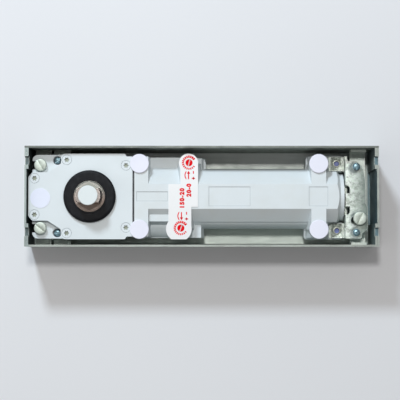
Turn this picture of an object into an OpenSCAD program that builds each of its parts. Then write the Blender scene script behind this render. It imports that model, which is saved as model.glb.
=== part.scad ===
// Floor spring in its cement box. Millimetres, +Z up, +X from the spindle to the far end.
// The origin lies on the box's underside, straight below the spindle axis.

/* [Cement box] */
// Distance from the round body's far end to the box's far end
far_l = 30; // [29:0.5:50]
// Gap between the gear case and the box's near end wall
near_gap = 1; // [0.8:0.1:4]
// Gap between the gear case and the box's side walls
side_gap = 4.5; // [4:0.1:8]
// Height of the cement box
box_h = 50; // [48:1:60]
// Thickness of the box's sheet
sheet_t = 1.5; // [1.2:0.1:1.8]
// Inside radius of the bends in the box's sheet
bend_r = 2; // [1:0.5:4]
// Width of the flanges that close the box's corners
flange_w = 17; // [14:1:20]
// Width of the tongues that lock the corner flanges
tongue_w = 6; // [4:0.5:8]
// Height of the box's shelves and cross rail above its underside
shelf_z = 20; // [17:0.5:22]
// Thickness of the shelves, the cross rail and the far bracket
plate_t = 2; // [1.5:0.1:2.5]

/* [Housing] */
// Gap between the box's floor and the housing
floor_gap = 1; // [0.5:0.1:2]
// Thickness of the gasket under the cover
gasket_t = 0.5; // [0.3:0.1:0.8]
// Thickness of the cover
cover_t = 5; // [4.5:0.1:6]
// Half width of the gear case and its cover
case_y = 34.5; // [33.5:0.1:36]
// Thickness of the gear case's near wall
case_wall = 5; // [4:0.1:6]
// Thickness of the gear case's floor
case_floor = 4; // [3.5:0.1:4.5]
// Outside radius of the round body that holds the closing spring
body_r = 23.7; // [22:0.1:25]
// Distance from the spindle axis to the far end of the round body
body_l = 203; // [195:1:225]
// Radius of the cylinder bore
bore_r = 17; // [16.8:0.1:18]
// Height of the cylinder's axis above the housing's underside
bore_h = 20; // [19.8:0.1:20.4]
// Radius of the four bosses that carry the rest pads
boss_r = 7.7; // [6.5:0.1:8.5]
// Distance from the round body's far end back to the far pair of bosses
far_boss_back = 18; // [16:0.5:22]
// Depth of the bare panels in the housing's top
panel_deep = 0.5; // [0.3:0.1:0.8]

/* [Spindle and cam] */
// Radius of the spindle's upper journal
spindle_r = 12.5; // [12:0.1:13]
// Height of the spindle's top above the cover
spindle_top = 20; // [18:0.5:24]
// Width across the spindle's flats at their foot
flat_foot = 13.1; // [12:0.1:14]
// Width across the spindle's flats at the top
flat_top = 10.6; // [10:0.1:11.5]
// Length of the spindle's head along its flats
head_l = 22.5; // [20:0.5:23]
// Radius of the shaft that carries the cam
shaft_r = 8; // [7:0.1:8.2]
// Lift of the heart cam in half a turn
stroke = 16; // [14:0.5:16]
// Distance from the spindle axis to the pressure roller when closed
roller_x = 17.5; // [17:0.1:18]
// Radius of the rollers
roller_r = 6.5; // [6:0.1:6.6]
// Radius of the roller pins
pin_r = 3; // [2.5:0.1:3.5]
// Thickness of the cam
cam_t = 9.6; // [8:0.1:10]
// Thickness of each yoke plate
yoke_t = 4; // [3:0.1:4]

/* [Closing spring] */
// Thickness of the spring's wire
wire_d = 5; // [4:0.1:5.2]
// Number of turns in the closing spring
turns = 13; // [10:1:14]
// Distance from the spindle axis to the piston's face when closed
piston_x = 64; // [62:0.5:66]
// Length of the piston's head
piston_l = 18; // [16:0.5:18]
// Length of the plug that closes the cylinder
plug_l = 14; // [12:0.5:16]
// Travel of the spring seat between the weakest and the strongest setting
seat_travel = 8; // [6:0.5:8]

/* [Label] */
// Thickness of the valve label
label_t = 0.6; // [0.4:0.1:1]
// Radius of the speed valves' heads
valve_r = 2.8; // [2.5:0.1:3]
// Radius of the label's round end by the latching valve
label_far_r = 7.8; // [7.2:0.1:8.2]
// Radius of the label's round end by the closing valve
label_near_r = 10.3; // [9.6:0.1:10.8]

/* [Screws] */
// Radius of the fixing and height screws' threads
screw_r = 3; // [2.5:0.1:3.2]
// Radius of the fixing screws' heads
screw_head_r = 5; // [4.5:0.1:5.5]
// Radius of the cover screws' heads
cover_head_r = 4; // [3.8:0.1:4.2]

/* [Clearances] */
// Radial clearance of a turning or sliding fit
run_gap = 0.05; // [0.02:0.01:0.08]
// Gap between neighbours that don't touch
free_gap = 0.3; // [0.2:0.05:0.4]
// Gap that the cam leaves to its rollers
cam_gap = 0.1; // [0.05:0.01:0.15]

/* [Hidden] */
$fn = 96;
tiny = 0.01;

// Levels: the box's floor and shelf, the housing's underside and the cylinder's axis
shelf_z0 = shelf_z - plate_t;
case_z0 = sheet_t + floor_gap;
bore_z = case_z0 + bore_h;

// Cam and yoke: the pitch line climbs evenly, so the yoke's travel follows the turn exactly
cam_rate = stroke / PI;
cam_reach = roller_r + cam_gap;
yoke_gap = 0.5;
yoke_room = 0.4;
yoke_rim = 2;
cam_z0 = bore_z - cam_t / 2;
cam_z1 = bore_z + cam_t / 2;
plate_z0 = cam_z0 - yoke_gap - yoke_t;
plate_z1 = cam_z1 + yoke_gap + yoke_t;
yoke_y = sqrt(pow(bore_r, 2) - pow(plate_z1 - bore_z, 2)) - yoke_room;
return_x = -(roller_x + stroke);
yoke_x0 = return_x - roller_r - yoke_rim;
yoke_x1 = piston_x - piston_l;
slot_r = shaft_r + free_gap;
tail_x0 = roller_x + roller_r + 3;
yoke_pin_x = yoke_x1 - 8;
yoke_pin_y = 8;
yoke_pin_r = 2.5;

// Gear case round the yoke: cavity, walls and levels
end_room = 2.5;
cavity_x0 = yoke_x0 - end_room;
cavity_r = roller_x + stroke - roller_r + 1;
cavity_z = case_z0 + case_floor;
end_r = yoke_y + 2.67;
race_gap = 1.2;
race_depth = 6;
race_z0 = plate_z1 + race_gap;
cover_z0 = race_z0 + race_depth;
case_z1 = cover_z0 - gasket_t;
cover_z1 = cover_z0 + cover_t;
case_x0 = cavity_x0 - case_wall;
neck_x = case_x0 + 15.5;
neck_y = end_r + 3;
shoulder_x = case_x0 + 26.3;
shoulder_y = case_y - 8.1;
step_y = 2.2;
cover_x1 = case_y;
cover_screw_r = 2;
cover_screw_l = 9;
cover_screw_spots = [[case_x0 + 5, end_r - 1.8], [shoulder_x + 4.7, case_y - 4.9],
    [cover_x1 - 5.2, case_y - 9.4]];

// Lugs beside the gear case and the screws in them
lug_x0 = case_x0 + 2.8;
lug_x1 = shoulder_x + 2.2;
lug_y = case_y - 0.6;
lug_z0 = cover_z0 - 10;
fixing_x = case_x0 + 9.5;
fixing_y = case_y - 9;
height_x = shoulder_x - 3.3;
height_y = case_y - 5.1;

// Housing beyond the gear case
beam_x0 = cover_x1 + 1;
beam_w = 11.7;
beam_y = case_y - step_y;
boss_y = case_y - boss_r - 0.2;
boss_rise = 0.4;
near_boss_x = beam_x0 + 4.6;
far_boss_x = body_l - far_boss_back;
flange_y = case_y - 1.3;
flange_z = 25;
arm_w = 12;
panel_y = 8;
closing_valve_spot = [beam_x0 + 38.1, 8.9 - case_y];
latching_valve_spot = [beam_x0 + 44.7, case_y - 7.3];
close_boss_r = 9.5;
latch_boss_r = 8;
strip_z = bore_z + 10;
ledge_y = 20;
ledge_z = bore_z + 17.5;
valve_z0 = bore_z + 6;
valve_block_x1 = closing_valve_spot.x + 17.9;
step_x1 = closing_valve_spot.x - 9.6;
flank_out = 2;
flank_drop = 3;
knee_turn = 32;
end_taper_l = 3;
end_taper_r = 4;
plug_cap_t = 3;
plug_cap_r = bore_r + 2.2;
spot_y = plug_cap_r + 1.5;
ear_x = body_l - 2;
ear_y = spot_y + 6.7;
ear_z = 24;

// Box: ends, walls and tongues
box_x0 = case_x0 - near_gap - sheet_t;
box_x1 = body_l + far_l;
box_l = box_x1 - box_x0;
wall_y = case_y + side_gap;
box_w = 2 * (wall_y + sheet_t);
tongue_y = wall_y - 10.4;
tongue_deep = 5.5;
flange_gap = 0.2;
tongue_l = flange_gap + sheet_t;
skirt_h = 8;

// Spindle and bearings
seat_r = shaft_r + 2;
race_r = seat_r + 9;
race_h = race_depth + 1;
race_ring = 3.2;
ball_r = 2.2;
ball_n = 14;
ball_ring_r = (seat_r + race_r) / 2;
bush_r = 13;
bush_h = 6;
seal_r = race_r - 2;
ring_r = spindle_r + 8.6;
ring_h = 3.5;
head_z = cover_z1 + ring_h;

// Spring chamber
coil_r = bore_r - free_gap - wire_d / 2 - 0.7;
seat_disc_t = 5;
plug_x0 = body_l - plug_l;
seat_x0 = plug_x0 - seat_disc_t - free_gap;
spring_x0 = piston_x + free_gap;
spring_x1 = seat_x0 - free_gap;
force_r = 5;
groove_x0 = yoke_x1 + 3;
groove_w = 3;
groove_r = bore_r - 2.5;
check_z = bore_z + 12;
check_r = 2.2;
check_x0 = piston_x - 7.5;
ball_seat_r = check_r + run_gap;
seal_z = cover_z1 - 6;
seal_wire_r = 0.6;

// Far bracket
flange_x0 = body_l + plug_cap_t + 1.3;
bracket_z1 = bore_z + 15.5;
bracket_z0 = bracket_z1 - plate_t;
arm_z0 = ear_z;
bracket_y0 = 0.7 - case_y;
bracket_y1 = case_y - 5.4;
far_fixing_spot = [flange_x0 + 11.3, -17.6];
far_height_x = flange_x0 + 8.7;
far_height_left_y = case_y - 10;
far_height_right_y = 5.5 - case_y;
rail_x0 = flange_x0 + 5.4;
rail_x1 = flange_x0 + 18;
pad_x = 9.6;
pad_y = 12;
washer_t = 2.5;
rivet_r = 2.6;

// Unit vector along a vector
function unit(v) = v / norm(v);

// Points of a corner at p rounded to radius r, between its neighbours a and b
function corner(a, p, b, r, n = 6) =
    r == 0 ? [p] :
    let (u = unit(a - p), v = unit(b - p), half = acos(u * v) / 2,
        c = p + unit(u + v) * r / sin(half),
        s = p + u * r / tan(half) - c, e = p + v * r / tan(half) - c,
        a0 = atan2(s.y, s.x), turn = (atan2(e.y, e.x) - a0 + 540) % 360 - 180)
    [for (i = [0:n]) c + r * [cos(a0 + turn * i / n), sin(a0 + turn * i / n)]];

// Outline with rounded corners, from points [x, y, radius]
function rounded(pts) = let (n = len(pts), xy = [for (p = pts) [p.x, p.y]])
    [for (i = [0:n - 1]) each corner(xy[(i + n - 1) % n], xy[i], xy[(i + 1) % n], pts[i].z)];

// Points mirrored to the other side of the centre line, in the opposite order
function both_sides(pts) = concat(pts,
    [for (i = [len(pts) - 1:-1:0]) [pts[i].x, -pts[i].y, pts[i].z]]);

case_points = both_sides([[case_x0, end_r - 0.7, 3.5], [case_x0 + 3.3, neck_y, 1.5],
    [neck_x, neck_y, 3],
    [shoulder_x, shoulder_y, 1.5], [shoulder_x, case_y, 3.5], [cover_x1 - 6.1, case_y, 1],
    [cover_x1 - 4.7, case_y - step_y, 1], [cover_x1, case_y - step_y, 0.8]]);

module outline(z0, z1) {
    translate([0, 0, z0]) linear_extrude(z1 - z0) polygon(rounded(case_points));
}

module block(x0, x1, y0, y1, z0, z1) {
    translate([x0, y0, z0]) cube([x1 - x0, y1 - y0, z1 - z0]);
}

module post(x, y, z0, z1, r) {
    translate([x, y, z0]) cylinder(r = r, h = z1 - z0);
}

module along_x(x0, x1, r, z = bore_z, y = 0) {
    translate([x0, y, z]) rotate([0, 90, 0]) cylinder(r = r, h = x1 - x0);
}

// Draws its children on both sides of the centre line
module pair() {
    children();
    mirror([0, 1, 0]) children();
}

// Cheese head screw with a straight slot, its head standing on z
module slotted_screw(x, y, z, head_r, head_h, shank_r, shank_l, slot_turn) {
    translate([x, y, z]) difference() {
        union() {
            cylinder(r = head_r, h = head_h);
            translate([0, 0, -shank_l]) cylinder(r = shank_r, h = shank_l + tiny);
        }
        rotate(slot_turn) translate([-head_r - 1, -0.6, head_h - 1.6]) cube([2 * head_r + 2, 1.2, 2]);
    }
}

// Headless screw with a straight slot in its top
module height_screw(x, y, z0, z1, slot_turn) {
    translate([x, y, z0]) difference() {
        union() {
            cylinder(r1 = screw_r * 0.6, r2 = screw_r, h = 1);
            translate([0, 0, 1]) cylinder(r = screw_r, h = z1 - z0 - 1);
        }
        rotate(slot_turn) translate([-screw_r - 1, -0.5, z1 - z0 - 1.5]) cube([2 * screw_r + 2, 1, 2]);
    }
}

// Zinc-plated tray, its side walls folded in at the corners and locked by tongues of the end walls
module cement_box() {
    color("#8f9a93") {
        translate([box_x0 + sheet_t + flange_gap, 0, 0]) rotate([90, 0, 90])
            linear_extrude(box_l - 2 * (sheet_t + flange_gap)) tray_profile();
        block(box_x0 + tiny, box_x1 - tiny, -wall_y + bend_r, wall_y - bend_r, 0, sheet_t);
        end_wall();
        translate([box_x0 + box_x1, 0, 0]) mirror([1, 0, 0]) end_wall();
    }
}

module tray_profile() {
    half = box_w / 2;
    outer_r = bend_r + sheet_t;
    difference() {
        polygon(rounded([[-half, 0, outer_r], [half, 0, outer_r], [half, box_h, 0], [-half, box_h, 0]]));
        polygon(rounded([[-wall_y, sheet_t, bend_r], [wall_y, sheet_t, bend_r],
            [wall_y, box_h + 1, 0], [-wall_y, box_h + 1, 0]]));
    }
}

// End wall at the near end with its corner flanges and tongues
module end_wall() {
    tongue_z = box_h - tongue_deep;
    notch_w = tongue_w / 2 + 0.5;
    flange_x = box_x0 + sheet_t + flange_gap;
    difference() {
        block(box_x0, box_x0 + sheet_t, -box_w / 2, box_w / 2, 0, box_h);
        pair() block(box_x0 - 1, box_x0 + sheet_t + 1, tongue_y - notch_w, tongue_y + notch_w,
            tongue_z + sheet_t - tiny, box_h + 1);
    }
    pair() difference() {
        block(flange_x, flange_x + sheet_t, wall_y - flange_w, wall_y + tiny, sheet_t, box_h);
        block(box_x0, flange_x + 2 * sheet_t, tongue_y - notch_w, tongue_y + notch_w,
            tongue_z - 1, box_h + 1);
    }
    pair() block(box_x0 + tiny, box_x0 + sheet_t + tongue_l, tongue_y - tongue_w / 2,
        tongue_y + tongue_w / 2, tongue_z, tongue_z + sheet_t);
}

// Shelf welded to each side wall, threaded for a near fixing screw
module fixing_shelves() {
    x0 = fixing_x - screw_r - 3;
    x1 = fixing_x + screw_r + 4;
    y0 = neck_y + 1.1;
    color("#9aa39c") pair() difference() {
        union() {
            translate([0, 0, shelf_z0]) linear_extrude(plate_t) polygon(rounded([
                [x0, y0, 2], [x1, y0, 2], [x1, wall_y, 0], [x0, wall_y, 0]]));
            block(x0, x1, wall_y - plate_t, wall_y, shelf_z0 - skirt_h, shelf_z0 + tiny);
        }
        post(fixing_x, fixing_y, shelf_z0 - 1, shelf_z + 1, screw_r + run_gap);
    }
}

// Shelf on each side wall that a near height screw stands on
module seat_shelves() {
    x0 = height_x - screw_r - 1.5;
    x1 = height_x + screw_r + 6.5;
    y0 = height_y - screw_r - 0.2;
    case_room = 1;
    color("#9aa39c") pair() {
        translate([0, 0, shelf_z0]) linear_extrude(plate_t) polygon(rounded([
            [x0, y0, 1.5], [height_x - 1, y0, 1.5], [shoulder_x - case_room, y0 + 2.3, 1],
            [shoulder_x - case_room, case_y + case_room, 0.8], [x1, case_y + case_room, 0.8],
            [x1, wall_y, 0], [x0, wall_y, 0]]));
        block(x0, x1, wall_y - plate_t, wall_y, shelf_z0 - skirt_h, shelf_z0 + tiny);
    }
}

// Rail across the far end of the box, its ends turned up against the side walls
module cross_rail() {
    color("#9aa39c") difference() {
        union() {
            block(rail_x0, rail_x1, -wall_y, wall_y, shelf_z0, shelf_z);
            pair() block(rail_x0, rail_x1, wall_y - plate_t, wall_y, shelf_z - tiny, shelf_z + skirt_h + 1);
        }
        post(far_fixing_spot.x, far_fixing_spot.y, shelf_z0 - 1, shelf_z + 1, screw_r + run_gap);
    }
}

// Painted iron casting: gear case, spring cylinder, valve bosses, arms, lugs and ears
module housing() {
    color("#dae2e6") difference() {
        casting();
        case_cavity();
        // Seat of the gasket and cover, cut into the lugs
        outline(case_z1, cover_z1 + 1);
        along_x(beam_x0 + 4, body_l + 1, bore_r);
        block(shaft_r, beam_x0 + 5, -yoke_y - yoke_room, yoke_y + yoke_room,
            plate_z0 - yoke_room, plate_z1 + yoke_room);
        post(0, 0, cavity_z - 2, cavity_z + bush_h, bush_r);
        for (spot = cover_screw_spots) pair() post(spot.x, spot.y, case_z1 - cover_screw_l - 1,
            case_z1 + 1, cover_screw_r + run_gap);
        lug_holes();
        valve_hole(closing_valve_spot);
        valve_hole(latching_valve_spot);
        bare_panels();
        pair() {
            post(ear_x, ear_y, ear_z - 10, ear_z + 1, rivet_r);
            // Flat seat cut into the round body's flank for the bracket's arm
            block(ear_x - 7.5, body_l + 1, spot_y, case_y + 1, ear_z, cover_z1 + 1);
        }
    }
}

module casting() {
    outline(case_z0, case_z1);
    lugs();
    round_body();
    block(cover_x1 - 3, beam_x0 + beam_w, -beam_y, beam_y, case_z0, case_z1);
    beam();
    valve_block();
    far_arms();
}

module lugs() {
    pair() translate([0, 0, lug_z0]) linear_extrude(cover_z0 - lug_z0) polygon(rounded([
        [lug_x0, neck_y - 1, 0], [lug_x0, lug_y, 4.5], [lug_x1, lug_y, 0], [lug_x1, neck_y - 1, 0]]));
}

module lug_holes() {
    pair() {
        post(fixing_x, fixing_y, lug_z0 - 1, cover_z0 + 1, screw_r + 0.5);
        block(fixing_x - 8, fixing_x, fixing_y - screw_r - 0.5, fixing_y + screw_r + 0.5,
            lug_z0 - 1, cover_z0 + 1);
        post(height_x, height_y, case_z0, cover_z0 + 1, screw_r + run_gap);
        // Room for the shelf and the screw's foot beside the gear case
        post(height_x, height_y, case_z0 - 1, lug_z0 + 1, screw_r + 1.2);
        // Sunk ring round the screw's thread
        post(height_x, height_y, cover_z0 - 1.2, cover_z0 + 1, screw_r + 1);
    }
}

// Round body over the spring, cut flat on top and underneath and along both upper flanks
module round_body() {
    intersection() {
        union() {
            body_bar(0, 0);
            // Fuller lower flank on the closing valve's side
            body_bar(-flank_out, -flank_drop);
        }
        union() {
            along_x(beam_x0 - 1, body_l - end_taper_l, case_y);
            translate([body_l - end_taper_l, 0, bore_z]) rotate([0, 90, 0])
                cylinder(r1 = body_r, r2 = body_r - end_taper_r, h = end_taper_l);
        }
        block(beam_x0 - 1, body_l + 1, -case_y, case_y, case_z0, cover_z1);
    }
}

module body_bar(y, z) {
    flat_z = cover_z1 - bore_z;
    flat_y = sqrt(body_r * body_r - flat_z * flat_z);
    flank = [for (i = [0:24]) let (a = -90 + (90 + knee_turn) * i / 24) body_r * [cos(a), sin(a)]];
    half = concat(flank, [[flat_y, flat_z]]);
    translate([beam_x0, y, bore_z + z]) rotate([90, 0, 90]) linear_extrude(body_l - beam_x0)
        polygon(concat(half, [for (i = [len(half) - 1:-1:0]) [-half[i].x, half[i].y]]));
}

// Wall between the gear case and the cylinder, with the near bosses at its ends
module beam() {
    intersection() {
        union() {
            pair() {
                web(beam_x0, beam_x0 + beam_w, beam_y, cover_z1, 0, 3);
                post(near_boss_x, boss_y, case_z0, cover_z1 + boss_rise, boss_r - 0.4);
            }
        }
        block(beam_x0, beam_x0 + 2 * beam_w, -case_y, case_y, case_z0, cover_z1 + 1);
    }
}

// Low block beside the cylinder, stepped and rounded, with a boss for each speed valve
module valve_block() {
    x1 = valve_block_x1;
    shoulder_r = 9;
    translate([0, 0, case_z0]) linear_extrude(flange_z - case_z0) polygon(rounded([
        [beam_x0, -flange_y, 0], [x1, -flange_y, 4], [x1, 0, 0], [x1 + 2.5, 0, 0],
        [x1 + 2.5, flange_y - 1, 5], [beam_x0, flange_y - 1, 0]]));
    // Rounded shoulder along the south side and the ledge above it
    intersection() {
        along_x(beam_x0, x1 - 3, shoulder_r, flange_z - 3, shoulder_r - flange_y);
        block(beam_x0, x1, -flange_y, 0, case_z0, cover_z1);
    }
    translate([beam_x0, 0, 0]) rotate([90, 0, 90]) linear_extrude(step_x1 - beam_x0) polygon([
        [0, flange_z], [-ledge_y - 3, flange_z], [-ledge_y, ledge_z], [0, ledge_z]]);
    // Raised strip along the north side
    translate([beam_x0, 0, 0]) rotate([90, 0, 90]) linear_extrude(latching_valve_spot.x - beam_x0) polygon([
        [0, case_z0], [flange_y - 1.2, case_z0], [flange_y - 1.2, strip_z], [flange_y - 4.5, strip_z],
        [body_r + 1, flange_z + 1], [0, flange_z + 1]]);
    // Flat steps at the far corners
    web(closing_valve_spot.x, x1 - 1.5, -flange_y, flange_z + 6, 0, 2.5);
    web(latching_valve_spot.x, x1 - 1, flange_y - 1.5, flange_z + 4, 0, 3);
    boss_arm(closing_valve_spot, close_boss_r, 17);
    boss_arm(latching_valve_spot, latch_boss_r, 14.5);
}

// Boss under a round end of the label, carried by a web that widens towards its foot
module boss_arm(spot, r, w) {
    post(spot.x, spot.y, case_z0, cover_z1, r - 1.2);
    intersection() {
        web(spot.x - w / 2, spot.x + w / 2, spot.y, cover_z1, 4, 4);
        block(0, body_l, -case_y, case_y, case_z0, cover_z1);
    }
}

// Web along Y up to y1, x0 to x1 wide at its top, whose sides slope out by near and far at its foot
module web(x0, x1, y1, z1, near, far) {
    foot_z = flange_z - 3;
    rotate([90, 0, 0]) translate([0, 0, y1 > 0 ? -y1 : 0]) linear_extrude(abs(y1)) polygon([
        [x0 - near, case_z0], [x1 + far, case_z0], [x1 + far, foot_z], [x1, z1], [x0, z1],
        [x0 - near, foot_z]]);
}

// Arms at the far end with their bosses, and the ears that the bracket is riveted to
module far_arms() {
    arm_x0 = far_boss_x - arm_w / 2;
    arm_x1 = far_boss_x + arm_w / 2;
    translate([0, 0, case_z0]) linear_extrude(ear_z - case_z0 - 3) polygon(rounded([
        [arm_x0 - 4.5, -case_y, 3], [ear_x - 8, -case_y, 2], [ear_x - 8, case_y, 2],
        [arm_x0 - 2.5, case_y, 3]]));
    translate([0, 0, case_z0]) linear_extrude(ear_z - case_z0) polygon(rounded([
        [ear_x - 9, -case_y, 1.5], [ear_x + 5, -case_y, 2], [ear_x + 5, -spot_y, 1],
        [body_l - 0.5, -spot_y, 0], [body_l - 0.5, spot_y, 0], [ear_x + 5, spot_y, 1],
        [ear_x + 5, case_y, 2], [ear_x - 9, case_y, 1.5]]));
    pair() post(far_boss_x, boss_y, case_z0, cover_z1 + boss_rise, boss_r - 0.4);
    web(arm_x0, arm_x1, boss_y, cover_z1, 2.2, 2);
    web(arm_x0, arm_x1, -boss_y, cover_z1, 4, 2);
    // Feet of the arms out to the casting's edge
    web(arm_x0 + 1, arm_x1 - 1, case_y - 1.5, cover_z1 - 8, 2.2, 2);
    web(arm_x0 + 1, arm_x1 - 1, 1.5 - case_y, cover_z1 - 8, 4, 2);
}

// Room for the cam and the near end of the yoke, open at the top
module case_cavity() {
    difference() {
        union() {
            post(0, 0, cavity_z, cover_z0 + 1, cavity_r);
            post(cavity_x0 + end_r, 0, cavity_z, cover_z0 + 1, end_r);
            block(cavity_x0 + end_r, 0, -end_r, end_r, cavity_z, cover_z0 + 1);
        }
        post(0, 0, cavity_z - 1, cavity_z + bush_h - 2, bush_r + 4);
    }
}

// Hole for a speed valve and the oil way from its foot to the cylinder
module valve_hole(spot) {
    side = sign(spot.y);
    post(spot.x, spot.y, valve_z0 - 1, cover_z1 + 1, valve_r + run_gap);
    translate([spot.x, 0, valve_z0]) rotate([side > 0 ? -90 : 90, 0, 0])
        translate([0, 0, bore_r - 3]) cylinder(r = 1.2, h = abs(spot.y) - bore_r + 3);
}

// Sunk panels in the housing's top, left bare
module bare_panels() {
    x1 = valve_block_x1 + 4.4;
    for (p = [[beam_x0 + 2, step_x1 - 0.8, panel_y / 2], [x1, x1 + 34, panel_y],
            [far_boss_x - 8.1, far_boss_x + 7.7, panel_y]])
        block(p[0], p[1], -p[2], p[2], cover_z1 - panel_deep, cover_z1 + 2);
}

module cover_gasket() {
    color("#3a3d3f") difference() {
        outline(case_z1, cover_z0);
        case_cavity();
        for (spot = cover_screw_spots) pair() post(spot.x, spot.y, case_z1 - 1, cover_z0 + 1,
            cover_screw_r + free_gap);
    }
}

// Cover with the upper bearing's hub underneath
module housing_cover() {
    color("#dde4e8") difference() {
        union() {
            outline(cover_z0, cover_z1);
            post(0, 0, race_z0, cover_z0 + tiny, race_r + 4);
        }
        post(0, 0, race_z0 - 1, race_z0 + race_h, race_r);
        post(0, 0, race_z0, cover_z1 + 1, seal_r);
        for (spot = cover_screw_spots) pair() {
            post(spot.x, spot.y, cover_z0 - 1, cover_z1 + 1, cover_screw_r + free_gap);
            translate([spot.x, spot.y, cover_z1 - 2.4]) cylinder(h = 2.4 + tiny,
                r1 = cover_screw_r + free_gap + run_gap, r2 = cover_head_r + run_gap + 0.2);
        }
    }
}

// Six countersunk screws with a star socket
module cover_screws() {
    color("#dde4e8") for (spot = cover_screw_spots) pair() translate([spot.x, spot.y, 0]) difference() {
        union() {
            translate([0, 0, case_z1 - cover_screw_l])
                cylinder(r = cover_screw_r, h = cover_z1 - case_z1 + cover_screw_l - 2);
            translate([0, 0, cover_z1 - 2.2]) cylinder(r1 = cover_screw_r, r2 = cover_head_r, h = 2);
            translate([0, 0, cover_z1 - 0.2]) cylinder(r = cover_head_r, h = 0.2);
        }
        translate([0, 0, cover_z1 - 1.8]) linear_extrude(2) star(1.3, 2.1);
    }
}

// Six-pointed star socket
module star(inner, outer) {
    polygon([for (i = [0:11]) (i % 2 == 0 ? outer : inner) * [cos(i * 30), sin(i * 30)]]);
}

module spindle_seal_ring() {
    color("#232427") translate([0, 0, cover_z1]) rotate_extrude() polygon([
        [spindle_r + 0.1, 0], [ring_r, 0], [ring_r, ring_h - 1.4], [ring_r - 0.5, ring_h - 0.6],
        [ring_r - 1.6, ring_h], [spindle_r + 0.6, ring_h], [spindle_r + 0.1, ring_h - 0.5]]);
}

module shaft_seal() {
    color("#303236") translate([0, 0, race_z0 + race_h]) rotate_extrude() polygon([
        [spindle_r + run_gap, 0.3], [seal_r, 0.3], [seal_r, cover_z1 - race_z0 - race_h],
        [spindle_r + 2.2, cover_z1 - race_z0 - race_h], [spindle_r + 1.2, 2.6],
        [spindle_r + run_gap, 2]]);
}

module upper_outer_race() {
    color("silver") translate([0, 0, race_z0]) rotate_extrude() difference() {
        translate([race_r - race_ring, 0]) square([race_ring, race_h]);
        translate([ball_ring_r, race_h / 2]) circle(r = ball_r + run_gap);
    }
}

module upper_inner_race() {
    color("silver") translate([0, 0, race_z0]) rotate_extrude() difference() {
        translate([seat_r, 0]) square([race_ring, race_h]);
        translate([ball_ring_r, race_h / 2]) circle(r = ball_r + run_gap);
    }
}

module upper_balls() {
    color("silver") for (i = [0:ball_n - 1]) rotate(i * 360 / ball_n)
        translate([ball_ring_r, 0, race_z0 + race_h / 2]) sphere(r = ball_r);
}

module lower_bush() {
    color("#b08d57") translate([0, 0, cavity_z - 2]) difference() {
        cylinder(r = bush_r, h = bush_h);
        translate([0, 0, -1]) cylinder(r = shaft_r + run_gap, h = bush_h + 2);
    }
}

// Spindle: lower journal, cam shaft, bearing seat, sealing collar and tapered head with two flats
module spindle() {
    color("#c9c6c2") difference() {
        union() {
            post(0, 0, cavity_z - 2 + free_gap, race_z0 + tiny, shaft_r);
            post(0, 0, plate_z1 + 0.4, race_z0 + race_h + tiny, seat_r);
            post(0, 0, race_z0 + race_h, head_z, spindle_r);
            translate([0, 0, head_z - tiny]) cylinder(r1 = spindle_r, r2 = head_l / 2, h = 1.2);
            spindle_head();
        }
        key_block(run_gap);
    }
}

// Tapered head of the spindle that the door's strap fits over
module spindle_head() {
    h = cover_z1 + spindle_top - head_z;
    intersection() {
        translate([0, 0, head_z]) cylinder(r1 = head_l / 2, r2 = head_l / 2 - 1.4, h = h);
        translate([-head_l, 0, head_z]) rotate([90, 0, 90]) linear_extrude(2 * head_l) polygon([
            [-flat_foot / 2 - 1, -1], [flat_foot / 2 + 1, -1], [flat_foot / 2, 1.5], [flat_top / 2, h + 1],
            [-flat_top / 2, h + 1], [-flat_foot / 2, 1.5]]);
    }
}

module spindle_cap() {
    color("#eef0f4") translate([0, 0, cover_z1 + spindle_top]) rotate_extrude() polygon([
        [0, 0], [7.8, 0], [7.8, 0.6], [7.4, 1], [0, 1]]);
}

module key_block(gap) {
    block(-shaft_r - 2.5 - gap, -shaft_r + 2.5, -2.5 - gap, 2.5 + gap, cam_z0, cam_z1);
}

module cam_key() {
    color("silver") key_block(0);
}

// Point of the cam's edge that touches a roller standing at angle p of the pitch line
function cam_point(p) = let (r = roller_x + cam_rate * p * PI / 180, n = sqrt(r * r + cam_rate * cam_rate),
    out = r - cam_reach * r / n, along = cam_reach * cam_rate / n)
    [out * cos(p) - along * sin(p), out * sin(p) + along * cos(p)];

// Heart-shaped cam: even climb both ways from the notch that holds the door closed
module heart_cam() {
    notch = atan2(cam_rate, roller_x);
    tip = 180 - atan2(cam_reach * cam_rate / -return_x, -return_x - cam_reach);
    side = [for (i = [0:40]) cam_point(tip * i / 40)];
    color("#8d8f90") translate([0, 0, cam_z0]) difference() {
        linear_extrude(cam_t) polygon(concat(
            [for (i = [-8:8]) let (a = 180 - notch * i / 8) [roller_x, 0] + cam_reach * [cos(a), sin(a)]],
            [for (i = [1:40]) side[i]],
            [for (i = [39:-1:1]) [side[i].x, -side[i].y]]));
        translate([0, 0, -1]) cylinder(r = shaft_r, h = cam_t + 2);
        translate([0, 0, -cam_z0]) key_block(run_gap);
    }
}

// Yoke plate with its long slot for the shaft and the holes for rollers and piston
module yoke_plate(z) {
    difference() {
        union() {
            post(yoke_x0 + yoke_y, 0, z, z + yoke_t, yoke_y);
            block(yoke_x0 + yoke_y, yoke_x1, -yoke_y, yoke_y, z, z + yoke_t);
        }
        post(0, 0, z - 1, z + yoke_t + 1, slot_r);
        post(-stroke, 0, z - 1, z + yoke_t + 1, slot_r);
        block(-stroke, 0, -slot_r, slot_r, z - 1, z + yoke_t + 1);
        for (x = [roller_x, return_x]) post(x, 0, z - 1, z + yoke_t + 1, pin_r);
        for (side = [-1, 1]) post(yoke_pin_x, side * yoke_pin_y, z - 1, z + yoke_t + 1, yoke_pin_r);
    }
}

module upper_yoke_plate() {
    color("#a9acae") yoke_plate(cam_z1 + yoke_gap);
}

module lower_yoke_plate() {
    color("#a9acae") yoke_plate(plate_z0);
}

module roller_pins() {
    color("silver") for (x = [roller_x, return_x]) post(x, 0, plate_z0, plate_z1, pin_r);
}

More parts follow.
